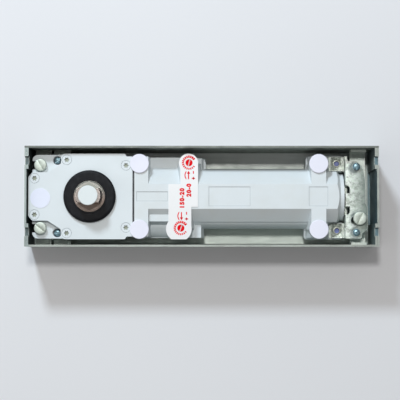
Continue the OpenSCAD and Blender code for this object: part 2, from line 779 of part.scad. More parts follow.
module yoke_pins() {
    color("silver") for (side = [-1, 1]) post(yoke_pin_x, side * yoke_pin_y, plate_z0, plate_z1, yoke_pin_r);
}

module roller(x) {
    h = cam_t + 2 * yoke_gap - 0.4;
    color("#b9bcbe") translate([x, 0, bore_z - h / 2]) rotate_extrude() polygon([
        [pin_r + run_gap, 0], [roller_r - 0.4, 0], [roller_r, 0.4], [roller_r, h - 0.4],
        [roller_r - 0.4, h], [pin_r + run_gap, h]]);
}

module pressure_roller() {
    roller(roller_x);
}

module return_roller() {
    roller(return_x);
}

// Piston with the tail that the yoke plates are pinned to and the way for the check valve
module piston() {
    tail_h = cam_t / 2 + yoke_gap;
    color("#b4b7b9") difference() {
        union() {
            along_x(yoke_x1, piston_x, bore_r - run_gap);
            block(tail_x0, yoke_x1 + tiny, -yoke_y, yoke_y, bore_z - tail_h, bore_z + tail_h);
        }
        difference() {
            along_x(groove_x0, groove_x0 + groove_w, bore_r + 1);
            along_x(groove_x0 - 1, groove_x0 + groove_w + 1, groove_r);
        }
        for (side = [-1, 1]) post(yoke_pin_x, side * yoke_pin_y, plate_z0, plate_z1, yoke_pin_r);
        along_x(yoke_x1 - 1, piston_x + 1, 1.2, check_z);
        along_x(check_x0, piston_x + 1, ball_seat_r, check_z);
    }
}

module piston_seal() {
    color("#3b3d40") difference() {
        along_x(groove_x0 + 0.1, groove_x0 + groove_w - 0.1, bore_r - 0.02);
        along_x(groove_x0 - 1, groove_x0 + groove_w + 1, groove_r);
    }
}

module check_ball() {
    color("silver") translate([check_x0 + check_r + free_gap, 0, check_z]) sphere(r = check_r);
}

module check_seat() {
    color("#b08d57") difference() {
        along_x(piston_x - 1.5, piston_x, ball_seat_r, check_z);
        along_x(piston_x - 2, piston_x + 1, 1.2, check_z);
    }
}

// Place of the spring's wire after a number of turns, with one closed turn at each end
function coil_at(n) = let (close = wire_d + 0.6,
    open = (spring_x1 - spring_x0 - wire_d - 2 * close) / (turns - 2),
    x = spring_x0 + wire_d / 2 + (n < 1 ? close * n
        : n > turns - 1 ? close + open * (turns - 2) + close * (n - turns + 1) : close + open * (n - 1)))
    [x, coil_r * cos(n * 360), bore_z + coil_r * sin(n * 360)];

coil_rings = 8 * turns;
coil_sides = 6;
coil_points = [for (i = [0:coil_rings])
    let (n = i * turns / coil_rings, out = [0, cos(n * 360), sin(n * 360)])
    for (j = [0:coil_sides - 1]) let (a = j * 360 / coil_sides)
        coil_at(n) + wire_d / 2 * (cos(a) * out + sin(a) * [1, 0, 0])];
coil_faces = concat(
    [[for (j = [0:coil_sides - 1]) j]],
    [for (i = [0:coil_rings - 1], j = [0:coil_sides - 1]) let (a = i * coil_sides, k = (j + 1) % coil_sides)
        each [[a + j, a + coil_sides + j, a + k], [a + k, a + coil_sides + j, a + coil_sides + k]]],
    [[for (j = [coil_sides - 1:-1:0]) coil_rings * coil_sides + j]]);
coil_gap = min([for (i = [0:coil_rings - 8], j = [i + 6:min(i + 10, coil_rings)])
    norm(coil_at(i * turns / coil_rings) - coil_at(j * turns / coil_rings))]) - wire_d;

// Closing spring, one unbroken wire
module closing_spring() {
    echo(least_gap_in_closing_spring = coil_gap);
    color("#6f7477") polyhedron(coil_points, coil_faces);
}

// Disc that the spring leans on, threaded on the force screw
module spring_seat() {
    color("#a9acae") difference() {
        union() {
            along_x(seat_x0, seat_x0 + seat_disc_t, bore_r - 0.4);
            along_x(seat_x0 - 6, seat_x0 + tiny, force_r + 3);
        }
        along_x(seat_x0 - 7, plug_x0, force_r + run_gap);
    }
}

// Screw that sets the closing force, turned with a key through the bracket's round hole
module force_screw() {
    color("silver") difference() {
        union() {
            along_x(seat_x0 - seat_travel - 8, body_l + plug_cap_t - 0.5, force_r);
            along_x(plug_x0, plug_x0 + 2.9, force_r + 2);
        }
        translate([body_l - 4, 0, bore_z]) rotate([0, 90, 0]) cylinder(r = 2.9, h = plug_cap_t + 5, $fn = 6);
    }
}

// Plug screwed into the end of the cylinder
module end_plug() {
    color("#c4ccd0") difference() {
        union() {
            along_x(plug_x0, body_l + tiny, bore_r);
            along_x(body_l, body_l + plug_cap_t, plug_cap_r);
        }
        along_x(plug_x0 - 1, plug_x0 + 3, force_r + 2 + run_gap);
        along_x(plug_x0, body_l + plug_cap_t + 1, force_r + run_gap);
        difference() {
            along_x(plug_x0 + 5, plug_x0 + 8, bore_r + 1);
            along_x(plug_x0 + 4, plug_x0 + 9, bore_r - 2);
        }
    }
}

module end_plug_seal() {
    color("#303236") difference() {
        along_x(plug_x0 + 5, plug_x0 + 8, bore_r);
        along_x(plug_x0 + 4, plug_x0 + 9, bore_r - 2);
    }
}

// Speed valve with a slotted head, a groove for its seal and a tapered tip
module speed_valve(spot, slot_turn) {
    top = cover_z1 + label_t;
    color("#d81e2c") difference() {
        union() {
            post(spot.x, spot.y, valve_z0 + 3, top, valve_r);
            translate([spot.x, spot.y, valve_z0]) cylinder(r1 = 0.8, r2 = 2, h = 3 + tiny);
        }
        translate([spot.x, spot.y, seal_z]) rotate_extrude() translate([valve_r, 0]) circle(r = seal_wire_r);
        translate([spot.x, spot.y, top - 1]) rotate(slot_turn)
            translate([-valve_r - 1, -0.4, 0]) cube([2 * valve_r + 2, 0.8, 2]);
    }
}

module closing_valve() {
    speed_valve(closing_valve_spot, 70);
}

module latching_valve() {
    speed_valve(latching_valve_spot, 75);
}

module valve_seals() {
    color("#303236") for (spot = [closing_valve_spot, latching_valve_spot])
        translate([spot.x, spot.y, seal_z]) rotate_extrude() intersection() {
            translate([valve_r, 0]) circle(r = seal_wire_r - run_gap);
            translate([0, -2]) square([valve_r + run_gap, 4]);
        }
}

// Plate with a round end over each speed valve, its dials on plain white
module valve_label() {
    x0 = closing_valve_spot.x - 10;
    x1 = latching_valve_spot.x + 7.2;
    color("#f3f4f6") translate([0, 0, cover_z1]) linear_extrude(label_t) difference() {
        union() {
            translate([latching_valve_spot.x - 0.4, latching_valve_spot.y - 0.4]) circle(r = label_far_r);
            translate([x0 + 10, -8.4]) square([x1 - x0 - 10, latching_valve_spot.y + 8]);
            translate([x0, closing_valve_spot.y]) square([18.4, 9.9 - closing_valve_spot.y]);
            intersection() {
                translate([closing_valve_spot.x - 1.6, closing_valve_spot.y - 0.6]) circle(r = label_near_r);
                translate([x0 - 5, -34.6]) square([30, 20]);
            }
        }
        for (spot = [closing_valve_spot, latching_valve_spot])
            translate([spot.x, spot.y]) circle(r = valve_r + 0.1);
    }
}

module pad(x, y, z) {
    translate([x, y, z]) rotate_extrude() polygon([
        [0, 0], [boss_r, 0], [boss_r, 0.7], [boss_r - 0.4, 1.1], [0, 1.1]]);
}

// White pads on the bosses that the floor plate rests on
module rest_pads() {
    color("#eceef8") for (x = [near_boss_x, far_boss_x]) pair() pad(x, boss_y, cover_z1 + boss_rise);
}

module cover_disc() {
    color("#e6eaf6") post(case_x0 + 9.7, -1.4, cover_z1, cover_z1 + 0.3, 8);
}

// Pressed bracket at the far end: top plate, flange against the plug and two arms on the ears
module end_bracket() {
    x1 = flange_x0 + 16.1;
    slot_x1 = flange_x0 + 3.5;
    color("#b6bfb4") difference() {
        union() {
            translate([0, 0, bracket_z0]) linear_extrude(plate_t) polygon(rounded([
                [flange_x0, bracket_y0, 0.5], [x1 - 3.4, bracket_y0, 1], [x1 - 3, -30, 2],
                [x1 + 1.9, -26, 2], [x1 + 1.9, -9, 2], [x1, -5, 1], [x1, 12.9, 2], [x1 - 2.1, 24.3, 2],
                [x1 - 7, bracket_y1, 2], [flange_x0, bracket_y1, 1]]));
            block(flange_x0, flange_x0 + plate_t, -24, bracket_y1 + 1.6, arm_z0, bracket_z0 + tiny);
            block(flange_x0, flange_x0 + plate_t, -ear_y - pad_y / 2, ear_y + pad_y / 2, arm_z0, arm_z0 + 7);
            block(flange_x0, x1 - 3.6, bracket_y0 - tiny, bracket_y0 + 1.5, bracket_z0 - 4, bracket_z0 + 1);
            pair() block(ear_x - 6, flange_x0 + plate_t, ear_y - pad_y / 2, ear_y + pad_y / 2,
                arm_z0, arm_z0 + plate_t);
        }
        pair() post(ear_x, ear_y, arm_z0 - 1, arm_z0 + 3, rivet_r);
        along_x(flange_x0 - 1, flange_x0 + plate_t + 1, 6.5);
        // Slots along the fold, each with one round corner
        translate([0, 0, bracket_z0 - 6]) linear_extrude(plate_t + 7) {
            polygon(rounded([[flange_x0 - 1, 2.8, 0], [slot_x1, 2.8, 0.4], [slot_x1, 9.3, 2.8],
                [flange_x0 - 1, 9.3, 0]]));
            polygon(rounded([[flange_x0 - 1, -14.6, 0], [slot_x1, -14.6, 2.8], [slot_x1, -7.7, 0.4],
                [flange_x0 - 1, -7.7, 0]]));
        }
        for (y = [far_height_left_y, far_height_right_y])
            post(far_height_x, y, bracket_z0 - 1, bracket_z1 + 1, screw_r + run_gap);
        for (i = [0:4]) post(far_fixing_spot.x - i * 0.9, far_fixing_spot.y - i * 0.4,
            bracket_z0 - 1, bracket_z1 + 1, screw_r + 0.6);
    }
}

module bracket_washers() {
    z0 = arm_z0 + plate_t;
    color("#a8b0a8") pair() difference() {
        block(ear_x - pad_x / 2, ear_x + pad_x / 2, ear_y - pad_y / 2, ear_y + pad_y / 2, z0, z0 + washer_t);
        post(ear_x, ear_y, z0 - 1, z0 + washer_t + 1, rivet_r);
    }
}

// Hollow rivets through washer, bracket arm and housing ear
module bracket_rivets() {
    z1 = arm_z0 + plate_t + washer_t;
    color("#9aa39c") pair() difference() {
        union() {
            post(ear_x, ear_y, ear_z - 10, z1 + 0.1, rivet_r);
            translate([ear_x, ear_y, z1]) cylinder(r1 = rivet_r + 1, r2 = rivet_r + 0.3, h = 0.6);
        }
        post(ear_x, ear_y, z1 - 5, z1 + 1, rivet_r - 1);
    }
}

module near_fixing_screws() {
    color("#cfd3c8") for (side = [-1, 1]) slotted_screw(fixing_x, side * fixing_y, cover_z0, screw_head_r,
        4, screw_r, cover_z0 - shelf_z0 + 2, side > 0 ? -58 : -38);
}

module far_fixing_screw() {
    color("#cfd3c8") slotted_screw(far_fixing_spot.x, far_fixing_spot.y, bracket_z1, screw_head_r + 0.4,
        4, screw_r, bracket_z1 - shelf_z0 + 2, 35);
}

module near_height_screw_left() {
    color("#9fb3b8") height_screw(height_x, height_y, shelf_z, cover_z0 - 0.6, 48);
}

module near_height_screw_right() {
    color("#9fb3b8") height_screw(height_x, -height_y, shelf_z, cover_z0 - 0.6, 10);
}

module far_height_screw_left() {
    color("#9fb3b8") height_screw(far_height_x, far_height_left_y, shelf_z, bracket_z1 + 3, 95);
}

module far_height_screw_right() {
    color("#86a8c4") height_screw(far_height_x, far_height_right_y, shelf_z, bracket_z1 + 2, 20);
}

cement_box();
fixing_shelves();
seat_shelves();
cross_rail();
housing();
cover_gasket();
housing_cover();
cover_screws();
spindle_seal_ring();
shaft_seal();
upper_outer_race();
upper_balls();
upper_inner_race();
lower_bush();
spindle();
spindle_cap();
cam_key();
heart_cam();
upper_yoke_plate();
lower_yoke_plate();
roller_pins();
yoke_pins();
pressure_roller();
return_roller();
piston();
piston_seal();
check_ball();
check_seat();
closing_spring();
spring_seat();
force_screw();
end_plug();
end_plug_seal();
closing_valve();
latching_valve();
valve_seals();
valve_label();
rest_pads();
cover_disc();
end_bracket();
bracket_washers();
bracket_rivets();
near_fixing_screws();
far_fixing_screw();
near_height_screw_left();
near_height_screw_right();
far_height_screw_left();
far_height_screw_right();
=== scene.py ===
"""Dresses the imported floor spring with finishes, prints, threads and studio, one operator for each group of pieces."""

import math

import bmesh
import bpy
from bpy.props import FloatProperty, FloatVectorProperty, IntProperty, PointerProperty
from bpy.types import Operator, Panel, PropertyGroup
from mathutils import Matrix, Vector


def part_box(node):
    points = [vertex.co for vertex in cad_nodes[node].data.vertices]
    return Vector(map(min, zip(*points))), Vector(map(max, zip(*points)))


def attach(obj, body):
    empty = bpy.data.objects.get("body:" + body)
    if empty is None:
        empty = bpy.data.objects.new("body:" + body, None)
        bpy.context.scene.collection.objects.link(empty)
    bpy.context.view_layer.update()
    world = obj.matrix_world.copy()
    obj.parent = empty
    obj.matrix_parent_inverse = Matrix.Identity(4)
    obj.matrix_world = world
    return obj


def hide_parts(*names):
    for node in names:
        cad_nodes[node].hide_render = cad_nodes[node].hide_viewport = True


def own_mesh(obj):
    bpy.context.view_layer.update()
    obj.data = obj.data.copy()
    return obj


bl_info = {
    "name": "Floor Spring Dressing",
    "version": (1, 0, 0),
    "blender": (4, 5, 0),
    "location": "View3D > Sidebar > Floor Spring",
    "description": "Finishes, prints, threads and studio for a floor spring in its cement box",
    "category": "Object",
}

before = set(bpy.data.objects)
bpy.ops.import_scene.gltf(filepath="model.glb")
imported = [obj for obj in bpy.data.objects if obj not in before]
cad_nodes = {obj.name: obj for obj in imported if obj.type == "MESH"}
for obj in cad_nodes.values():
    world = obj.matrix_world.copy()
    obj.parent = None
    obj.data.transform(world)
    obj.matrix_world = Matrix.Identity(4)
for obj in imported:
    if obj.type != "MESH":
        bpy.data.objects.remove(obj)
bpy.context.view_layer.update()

MM = 0.001
BOX_LOW, BOX_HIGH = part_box("cement_box")
SHEET = 1.5 * MM
RIM = BOX_HIGH.z
WALL = BOX_HIGH.y - SHEET
COVER_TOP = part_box("housing_cover")[1].z
LABEL_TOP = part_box("valve_label")[1].z
CYLINDER_AXIS = 22.5 * MM
# The joint behind the cover, west and east side
COVER_JOINT = 34.7 * MM, 36.1 * MM
# Bare panels in the housing's top: west end, east end and half width
SUNK_PANELS = ((37.5 * MM, 63.2 * MM, 4 * MM), (95.9 * MM, 129.9 * MM, 8 * MM), (176.9 * MM, 192.7 * MM, 8 * MM))


def middle(node):
    """Middle of a CAD node's box."""
    low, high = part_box(node)
    return (low + high) / 2


CLOSING_VALVE = middle("closing_valve")
LATCHING_VALVE = middle("latching_valve")
NEAR_HEIGHT_SCREWS = middle("near_height_screw_left"), middle("near_height_screw_right")


# Shader building


class Value:
    """A socket of a material's nodes, so that maths on it reads as plain Python."""

    def __init__(self, paint, socket):
        self.paint = paint
        self.socket = socket

    def math(self, operation, first, second):
        return self.paint.node("Math", {"operation": operation}, {0: first, 1: second})

    def __add__(self, other):
        return self.math("ADD", self, other)

    def __sub__(self, other):
        return self.math("SUBTRACT", self, other)

    def __rsub__(self, other):
        return self.math("SUBTRACT", other, self)

    def __mul__(self, other):
        return self.math("MULTIPLY", self, other)

    __radd__, __rmul__ = __add__, __mul__


class Paint:
    """A procedural material under construction."""

    def __init__(self, name):
        self.material = bpy.data.materials.new(name)
        self.material.use_nodes = True
        self.tree = self.material.node_tree
        self.surface = self.tree.nodes["Principled BSDF"]
        self.place = self.node("TexCoord", output="Object")

    def node(self, kind, settings=None, sockets=None, output=0):
        """Adds a node, sets it up, fills or links its sockets and returns one of its outputs."""
        made = self.tree.nodes.new("ShaderNode" + kind)
        for name, value in (settings or {}).items():
            if name == "stops":
                self.set_stops(made.color_ramp, value)
            else:
                setattr(made, name, value)
        self.fill(made, sockets or {})
        return Value(self, made.outputs[output])

    def fill(self, made, sockets):
        for name, value in sockets.items():
            if isinstance(value, Value):
                self.tree.links.new(value.socket, made.inputs[name])
            else:
                made.inputs[name].default_value = value

    def set_stops(self, ramp, stops):
        while len(ramp.elements) < len(stops):
            ramp.elements.new(0.5)
        for element, (position, shade) in zip(ramp.elements, stops):
            element.position = position
            element.color = (shade, shade, shade, 1)

    def along(self, axis):
        """Place of the point along an axis, in metres."""
        return self.node("SeparateXYZ", sockets={0: self.place}, output=axis)

    def beyond(self, axis, none, full):
        """Mask along an axis, 0 at none and 1 at full, both in metres."""
        return self.node("MapRange", sockets={"Value": self.along(axis), "From Min": none, "From Max": full})

    def between(self, axis, low, high, soft):
        """Mask between two places along an axis, soft at both ends."""
        return self.beyond(axis, low, low + soft) * self.beyond(axis, high, high - soft)

    def near(self, x, y, full, none):
        """Round mask about an upright axis, 1 within the radius full and 0 beyond none."""
        away = self.node(
            "VectorMath", {"operation": "DISTANCE"}, {0: self.stretched((1, 1, 0)), 1: (x, y, 0)}, "Value")
        return self.node("MapRange", sockets={"Value": away, "From Min": none, "From Max": full})

    def oblong(self, west, east, half, inset, soft):
        """Mask over an oblong that lies evenly about the X axis, inset from its border."""
        across = self.between("Y", inset - half, half - inset, soft)
        return self.between("X", west + inset, east - inset, soft) * across

    def outline(self, west, east, half, width):
        """Soft line inside the border of an oblong that lies evenly about the X axis."""
        inner = self.oblong(west, east, half, width * 0.4, width * 0.6)
        return self.oblong(west, east, half, 0, 0.02 * MM) * (1 - inner)

    def stretched(self, scale):
        """The piece's own coordinates, scaled by axis."""
        return self.node("Mapping", sockets={"Vector": self.place, "Scale": scale})

    def noise(self, size, detail, scale=(1, 1, 1)):
        """Cloudy pattern whose blotches are about size metres across."""
        where = self.place if scale == (1, 1, 1) else self.stretched(scale)
        return self.node("TexNoise", sockets={"Vector": where, "Scale": 1 / size, "Detail": detail})

    def cells(self, size):
        """Cellular pattern whose cells are about size metres across."""
        return self.node("TexVoronoi", sockets={"Vector": self.place, "Scale": 1 / size}, output="Distance")

    def ramp(self, value, *stops):
        """Grey ramp over a value, from stops (position, shade)."""
        return self.node("ValToRGB", {"stops": stops}, {"Fac": value})

    def blotches(self, size, detail, none, full):
        """Cloudy pattern sharpened into blotches, 0 where it is below none and 1 where it is above full."""
        return self.ramp(self.noise(size, detail), (none, 0), (full, 1))

    def mix(self, factor, first, second):
        """Colour between two colours."""
        return self.node("Mix", {"data_type": "RGBA"}, {0: factor, 6: first, 7: second}, 2)

    def bump(self, height, depth):
        """Normal that a height pattern gives, depth metres deep."""
        return self.node("Bump", sockets={"Height": height, "Distance": depth, "Strength": 1})

    def edges(self, radius):
        """Mask that is light along the piece's edges."""
        rounded = self.node("Bevel", {"samples": 4}, {"Radius": radius})
        sharp = self.node("NewGeometry", output="Normal")
        along = self.node("VectorMath", {"operation": "DOT_PRODUCT"}, {0: rounded, 1: sharp}, "Value")
        return self.ramp(1 - along, (0.01, 0), (0.12, 1))

    def finish(self, **sockets):
        """Fills the surface's sockets, named with underscores, and returns the material."""
        self.fill(self.surface, {name.replace("_", " "): value for name, value in sockets.items()})
        return self.material


class Plating(Paint):
    """Zinc plating under construction: blotches, rolling marks along the grain, pits and edges."""

    def __init__(self, name, blotch, grain):
        super().__init__(name)
        self.mottle = self.blotches(blotch, 6, 0.36, 0.66)
        self.grainy = self.noise(0.0022, 3, grain)
        self.edge = self.edges(0.0005)

    def plate(self, colour, metallic, rough):
        """Finishes the plating in a colour and returns the material."""
        pits = self.ramp(self.cells(0.0024), (0.05, 0), (0.2, 1))
        return self.finish(
            Base_Color=colour,
            Metallic=metallic,
            Roughness=rough + self.mottle * 0.12 + self.grainy * 0.08 - self.edge * 0.08,
            Normal=self.bump(self.grainy * 0.6 + pits * 0.6 + self.mottle * 0.5, 0.00003),
        )


def tone(colour, factor):
    """A colour made lighter or darker, with alpha."""
    return (*(min(1.0, part * factor) for part in colour[:3]), 1.0)


# Finishes


def cast_paint(name, colour, dust_and_low_shade):
    """Satin paint over a casting: orange peel, pinholes, dust, painted shade low down, edges painted lighter as wear
    and highlight, and painted shade in the joint behind the cover, round the near height screws and along the panel
    borders.
    """
    paint = Paint(name)
    cloud = paint.noise(0.045, 4)
    fine = paint.noise(0.0011, 2)
    pinholes = paint.ramp(paint.cells(0.0032), (0.03, 0), (0.09, 1))
    dust = paint.blotches(0.012, 6, 0.42, 0.75)
    edge = paint.edges(0.0007)
    body = paint.mix(cloud, tone(colour, 0.94), tone(colour, 1.03))
    # Painted shade: darker, warmer paint low on the casting, where its recesses lie in shade.
    low = paint.ramp(paint.along("Z") * 25.0, (0.2, 1), (0.55, 0))
    low_shade = paint.mix(low * (0.5 * dust_and_low_shade), body, (0.40, 0.385, 0.35, 1))
    dusty = paint.mix(dust * (0.22 * dust_and_low_shade), low_shade, (0.62, 0.62, 0.55, 1))
    # Edges painted lighter: part wear, part painted highlight.
    worn_and_edge_lit = paint.mix(edge * 0.45, dusty, tone(colour, 1.18))
    speckled = paint.mix((1 - pinholes) * 0.12, worn_and_edge_lit, tone(colour, 0.55))
    # Painted shade: near black in the joint behind the cover and in rings round the near height screws.
    gap_shade = paint.between("X", *COVER_JOINT, 0.1 * MM)
    for screw in NEAR_HEIGHT_SCREWS:
        gap_shade = gap_shade + paint.near(screw.x, screw.y, 3.3 * MM, 3.7 * MM)
    # Painted shade along the inner border of the sunk panels.
    border = sum(paint.outline(west, east, half, 0.9 * MM) for west, east, half in SUNK_PANELS)
    sunk = paint.beyond("Z", COVER_TOP - 0.3 * MM, COVER_TOP - 0.4 * MM)
    panel_border_shaded = paint.mix(border * sunk * 0.45, speckled, tone(colour, 0.5))
    return paint.finish(
        Base_Color=paint.mix(gap_shade, panel_border_shaded, (0.035, 0.04, 0.05, 1)),
        Roughness=0.42 + dust * 0.16 + fine * 0.05,
        Normal=paint.bump(fine * 0.7 + pinholes * 0.5, 0.00005),
        Coat_Weight=0.08,
        Coat_Roughness=0.35,
    )


def zinc(name, colour, rough, metallic=0.9, grain=(1, 1, 1), blotch=0.006):
    """Zinc plating over steel: soft blotches, streaks along the grain and edges painted lighter as a highlight."""
    paint = Plating(name, blotch, grain)
    cloud = paint.noise(blotch * 4, 5)
    shade = paint.mix(paint.mottle * 0.8 + cloud * 0.2, tone(colour, 0.72), tone(colour, 1.12))
    streaked = paint.mix(paint.grainy * 0.3, shade, tone(colour, 0.86))
    # Painted highlight: edges lighter.
    edge_lit = paint.mix(paint.edge * 0.7, streaked, tone(colour, 1.5))
    return paint.plate(edge_lit, metallic - paint.edge * 0.1, rough)


def machined(name, colour, rough, grain):
    """Turned or ground steel: fine tool marks across the grain, faint stains and edges painted lighter as a highlight.
    """
    paint = Paint(name)
    marks = paint.noise(0.0014, 2, grain)
    stain = paint.blotches(0.011, 5, 0.45, 0.8)
    edge = paint.edges(0.0004)
    shade = paint.mix(stain * 0.4 + marks * 0.15, tone(colour, 1), tone(colour, 0.68))
    # Painted highlight: edges lighter.
    edge_lit = paint.mix(edge * 0.6, shade, tone(colour, 1.3))
    return paint.finish(
        Base_Color=edge_lit,
        Metallic=1.0,
        Roughness=rough + marks * 0.05 + stain * 0.08,
        Normal=paint.bump(marks, 0.000004),
    )


def moulded(name, colour, rough, grain=0.0007, dust=0.2):
    """Moulded plastic or rubber: fine moulding grain, faint flow clouds, settled dust and edges painted lighter as a
    highlight.
    """
    paint = Paint(name)
    fine = paint.noise(grain, 2)
    cloud = paint.noise(0.02, 3)
    settled = paint.blotches(0.006, 6, 0.5, 0.85)
    edge = paint.edges(0.0004)
    shade = paint.mix(cloud, tone(colour, 0.93), tone(colour, 1.05))
    dusty = paint.mix(settled * (dust * 0.2), shade, (0.6, 0.6, 0.58, 1))
    # Painted highlight: edges lighter.
    edge_lit = paint.mix(edge * 0.3, dusty, tone(colour, 1.35))
    return paint.finish(
        Base_Color=edge_lit,
        Roughness=rough + fine * 0.08 + settled * 0.08,
        Normal=paint.bump(fine, 0.00002),
    )


# Modelling helpers


def adjust(thing, **settings):
    """Sets several of a thing's properties."""
    for name, value in settings.items():
        setattr(thing, name, value)


def deselect():
    for thing in bpy.context.selected_objects:
        thing.select_set(False)


def activate(piece):
    deselect()
    piece.select_set(True)
    bpy.context.view_layer.objects.active = piece


def edit():
    """Enters edit mode on the active piece, all of it selected."""
    bpy.ops.object.mode_set(mode="EDIT")
    bpy.ops.mesh.select_all(action="SELECT")


def leave():
    """Leaves edit mode."""
    bpy.ops.object.mode_set(mode="OBJECT")


def start(kind, name, **settings):
    """Adds a primitive and leaves it in edit mode, all of it selected."""
    deselect()
    getattr(bpy.ops.mesh, f"primitive_{kind}_add")(**settings)
    piece = bpy.context.object
    piece.name = piece.data.name = name
    bpy.ops.object.mode_set(mode="EDIT")
    bpy.ops.mesh.select_mode(type="VERT")
    bpy.ops.mesh.select_all(action="SELECT")
    return piece


def box(name, low, high):
    """A block between two corners, left in edit mode."""
    low, high = Vector(low), Vector(high)
    block = start("cube", name, size=1, location=(low + high) / 2, scale=high - low)
    leave()
    bpy.ops.object.transform_apply()
    edit()
    return block


def pick(piece, kind, test):
    """Selects, in edit mode, only the faces or edges that pass the test."""
    bpy.ops.mesh.select_mode(type=kind)
    bpy.ops.mesh.select_all(action="DESELECT")
    mesh = bmesh.from_edit_mesh(piece.data)
    for part in mesh.faces if kind == "FACE" else mesh.edges:
        if test(part):
            part.select_set(True)
    bmesh.update_edit_mesh(piece.data)


def points(radius, height, *offsets):
    """Profile points at offsets (out, up) in millimetres from a radius and a height."""
    return [(radius + out * MM, height + up * MM) for out, up in offsets]


def close(piece):
    """Leaves edit mode with doubles merged and every face outwards, and puts the piece at the origin."""
    bpy.ops.mesh.select_mode(type="FACE")
    bpy.ops.mesh.select_all(action="SELECT")
    bpy.ops.mesh.remove_doubles(threshold=1e-6)
    bpy.ops.mesh.normals_make_consistent(inside=False)
    leave()
    activate(piece)
    bpy.ops.object.transform_apply()
    return piece


def turned(name, centre, profile, steps, ring=False):
    """A piece turned on an upright axis: a circle extruded and scaled through its profile of (radius, height)."""
    centre = Vector(centre)
    radius, height = profile[0]
    fill = "NOTHING" if ring else "NGON"
    foot = centre + Vector((0, 0, height))
    piece = start("circle", name, vertices=steps, radius=radius, fill_type=fill, location=foot)
    for wider, higher in profile[1:]:
        bpy.ops.mesh.extrude_region_move(TRANSFORM_OT_translate={"value": (0, 0, higher - height)})
        factor = wider / radius
        bpy.ops.transform.resize(value=(factor, factor, 1), center_override=centre + Vector((0, 0, higher)))
        radius, height = wider, higher
    if ring:
        pick(piece, "EDGE", lambda edge: edge.is_boundary)
        bpy.ops.mesh.bridge_edge_loops()
    return close(piece)


def apply(piece, kind, **settings):
    """Adds a modifier to a piece, sets it up and applies it."""
    activate(piece)
    modifier = piece.modifiers.new(kind.title(), kind)
    adjust(modifier, **settings)
    bpy.ops.object.modifier_apply(modifier=modifier.name)
    return piece


def cut(piece, tool):
    """Cuts a tool out of a piece and deletes the tool."""
    apply(piece, "BOOLEAN", operation="DIFFERENCE", object=tool, solver="EXACT")
    bpy.data.objects.remove(tool)


def round_edges(piece, width, segments=2, angle=35):
    """Rounds a piece's sharp edges."""
    return apply(piece, "BEVEL", width=width, segments=segments, limit_method="ANGLE", angle_limit=math.radians(angle))


def spin_about(piece, degrees, centre):
    """Turns a piece's mesh about an upright axis."""
    activate(piece)
    edit()
    bpy.ops.transform.rotate(value=-math.radians(degrees), orient_axis="Z", center_override=Vector(centre))
    leave()
    return piece


def join(name, pieces):
    """Joins pieces into one, named."""
    activate(pieces[0])
    for piece in pieces[1:]:
        piece.select_set(True)
    bpy.ops.object.join()
    whole = bpy.context.object
    whole.name = whole.data.name = name
    return whole


def coat(piece, material):
    """Gives a piece its only material."""
    piece.data.materials.clear()
    piece.data.materials.append(material)


def dress(piece, material, body, slot, *nodes, smooth=35):
    """Gives a finished piece its material, shading and body, and hides the CAD nodes that it stands for. The slot is
    not used.
    """
    coat(piece, material)
    activate(piece)
    bpy.ops.object.shade_smooth_by_angle(angle=math.radians(smooth))
    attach(piece, body)
    if nodes:
        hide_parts(*nodes)


def paint_nodes(material, *names):
    """Gives CAD nodes that keep their mesh a better material."""
    for name in names:
        coat(cad_nodes[name], material)


# Settings


def swatch(name, description, default):
    """A colour that a user can change."""
    return FloatVectorProperty(name=name, description=description, subtype="COLOR", min=0, max=1, default=default)


class FloorSpringFinish(PropertyGroup):
    """Colours that a user would change."""

    paint: swatch("Paint", "Satin paint on the housing and its cover", (0.70, 0.76, 0.79))
    sheet: swatch("Box sheet", "Zinc plating on the cement box, its shelves and its rail", (0.42, 0.46, 0.43))
    bracket: swatch("Bracket", "Zinc plating on the far bracket", (0.50, 0.56, 0.50))
    steel: swatch("Spindle steel", "Ground steel of the spindle", (0.66, 0.60, 0.57))
    ring: swatch("Seal ring", "Black ring round the spindle", (0.013, 0.014, 0.017))
    pad: swatch("Pads", "White rest pads", (0.80, 0.81, 0.92))
    print_red: swatch("Label print", "Print on the valve label and the valves' heads", (0.78, 0.002, 0.008))


class FloorSpringSizes(PropertyGroup):
    """Sizes of the details that a user would change."""

    edge: FloatProperty(
        name="Washer rounding", description="Rounding of the square washers' edges",
        subtype="DISTANCE", unit="LENGTH", min=0.0001, max=0.001, default=0.00021,
    )
    pitch: FloatProperty(
        name="Thread pitch", description="Pitch of the threads on the height and fixing screws",
        subtype="DISTANCE", unit="LENGTH", min=0.0005, max=0.002, default=0.001,
    )
    dial_strokes: IntProperty(
        name="Dial strokes", description="Number of strokes round each valve on the label", min=8, max=24, default=17,
    )


class Piece:
    """What the operators share."""

    bl_options = {"REGISTER", "UNDO"}

    @classmethod
    def poll(cls, context):
        return context.mode == "OBJECT"


# Stage


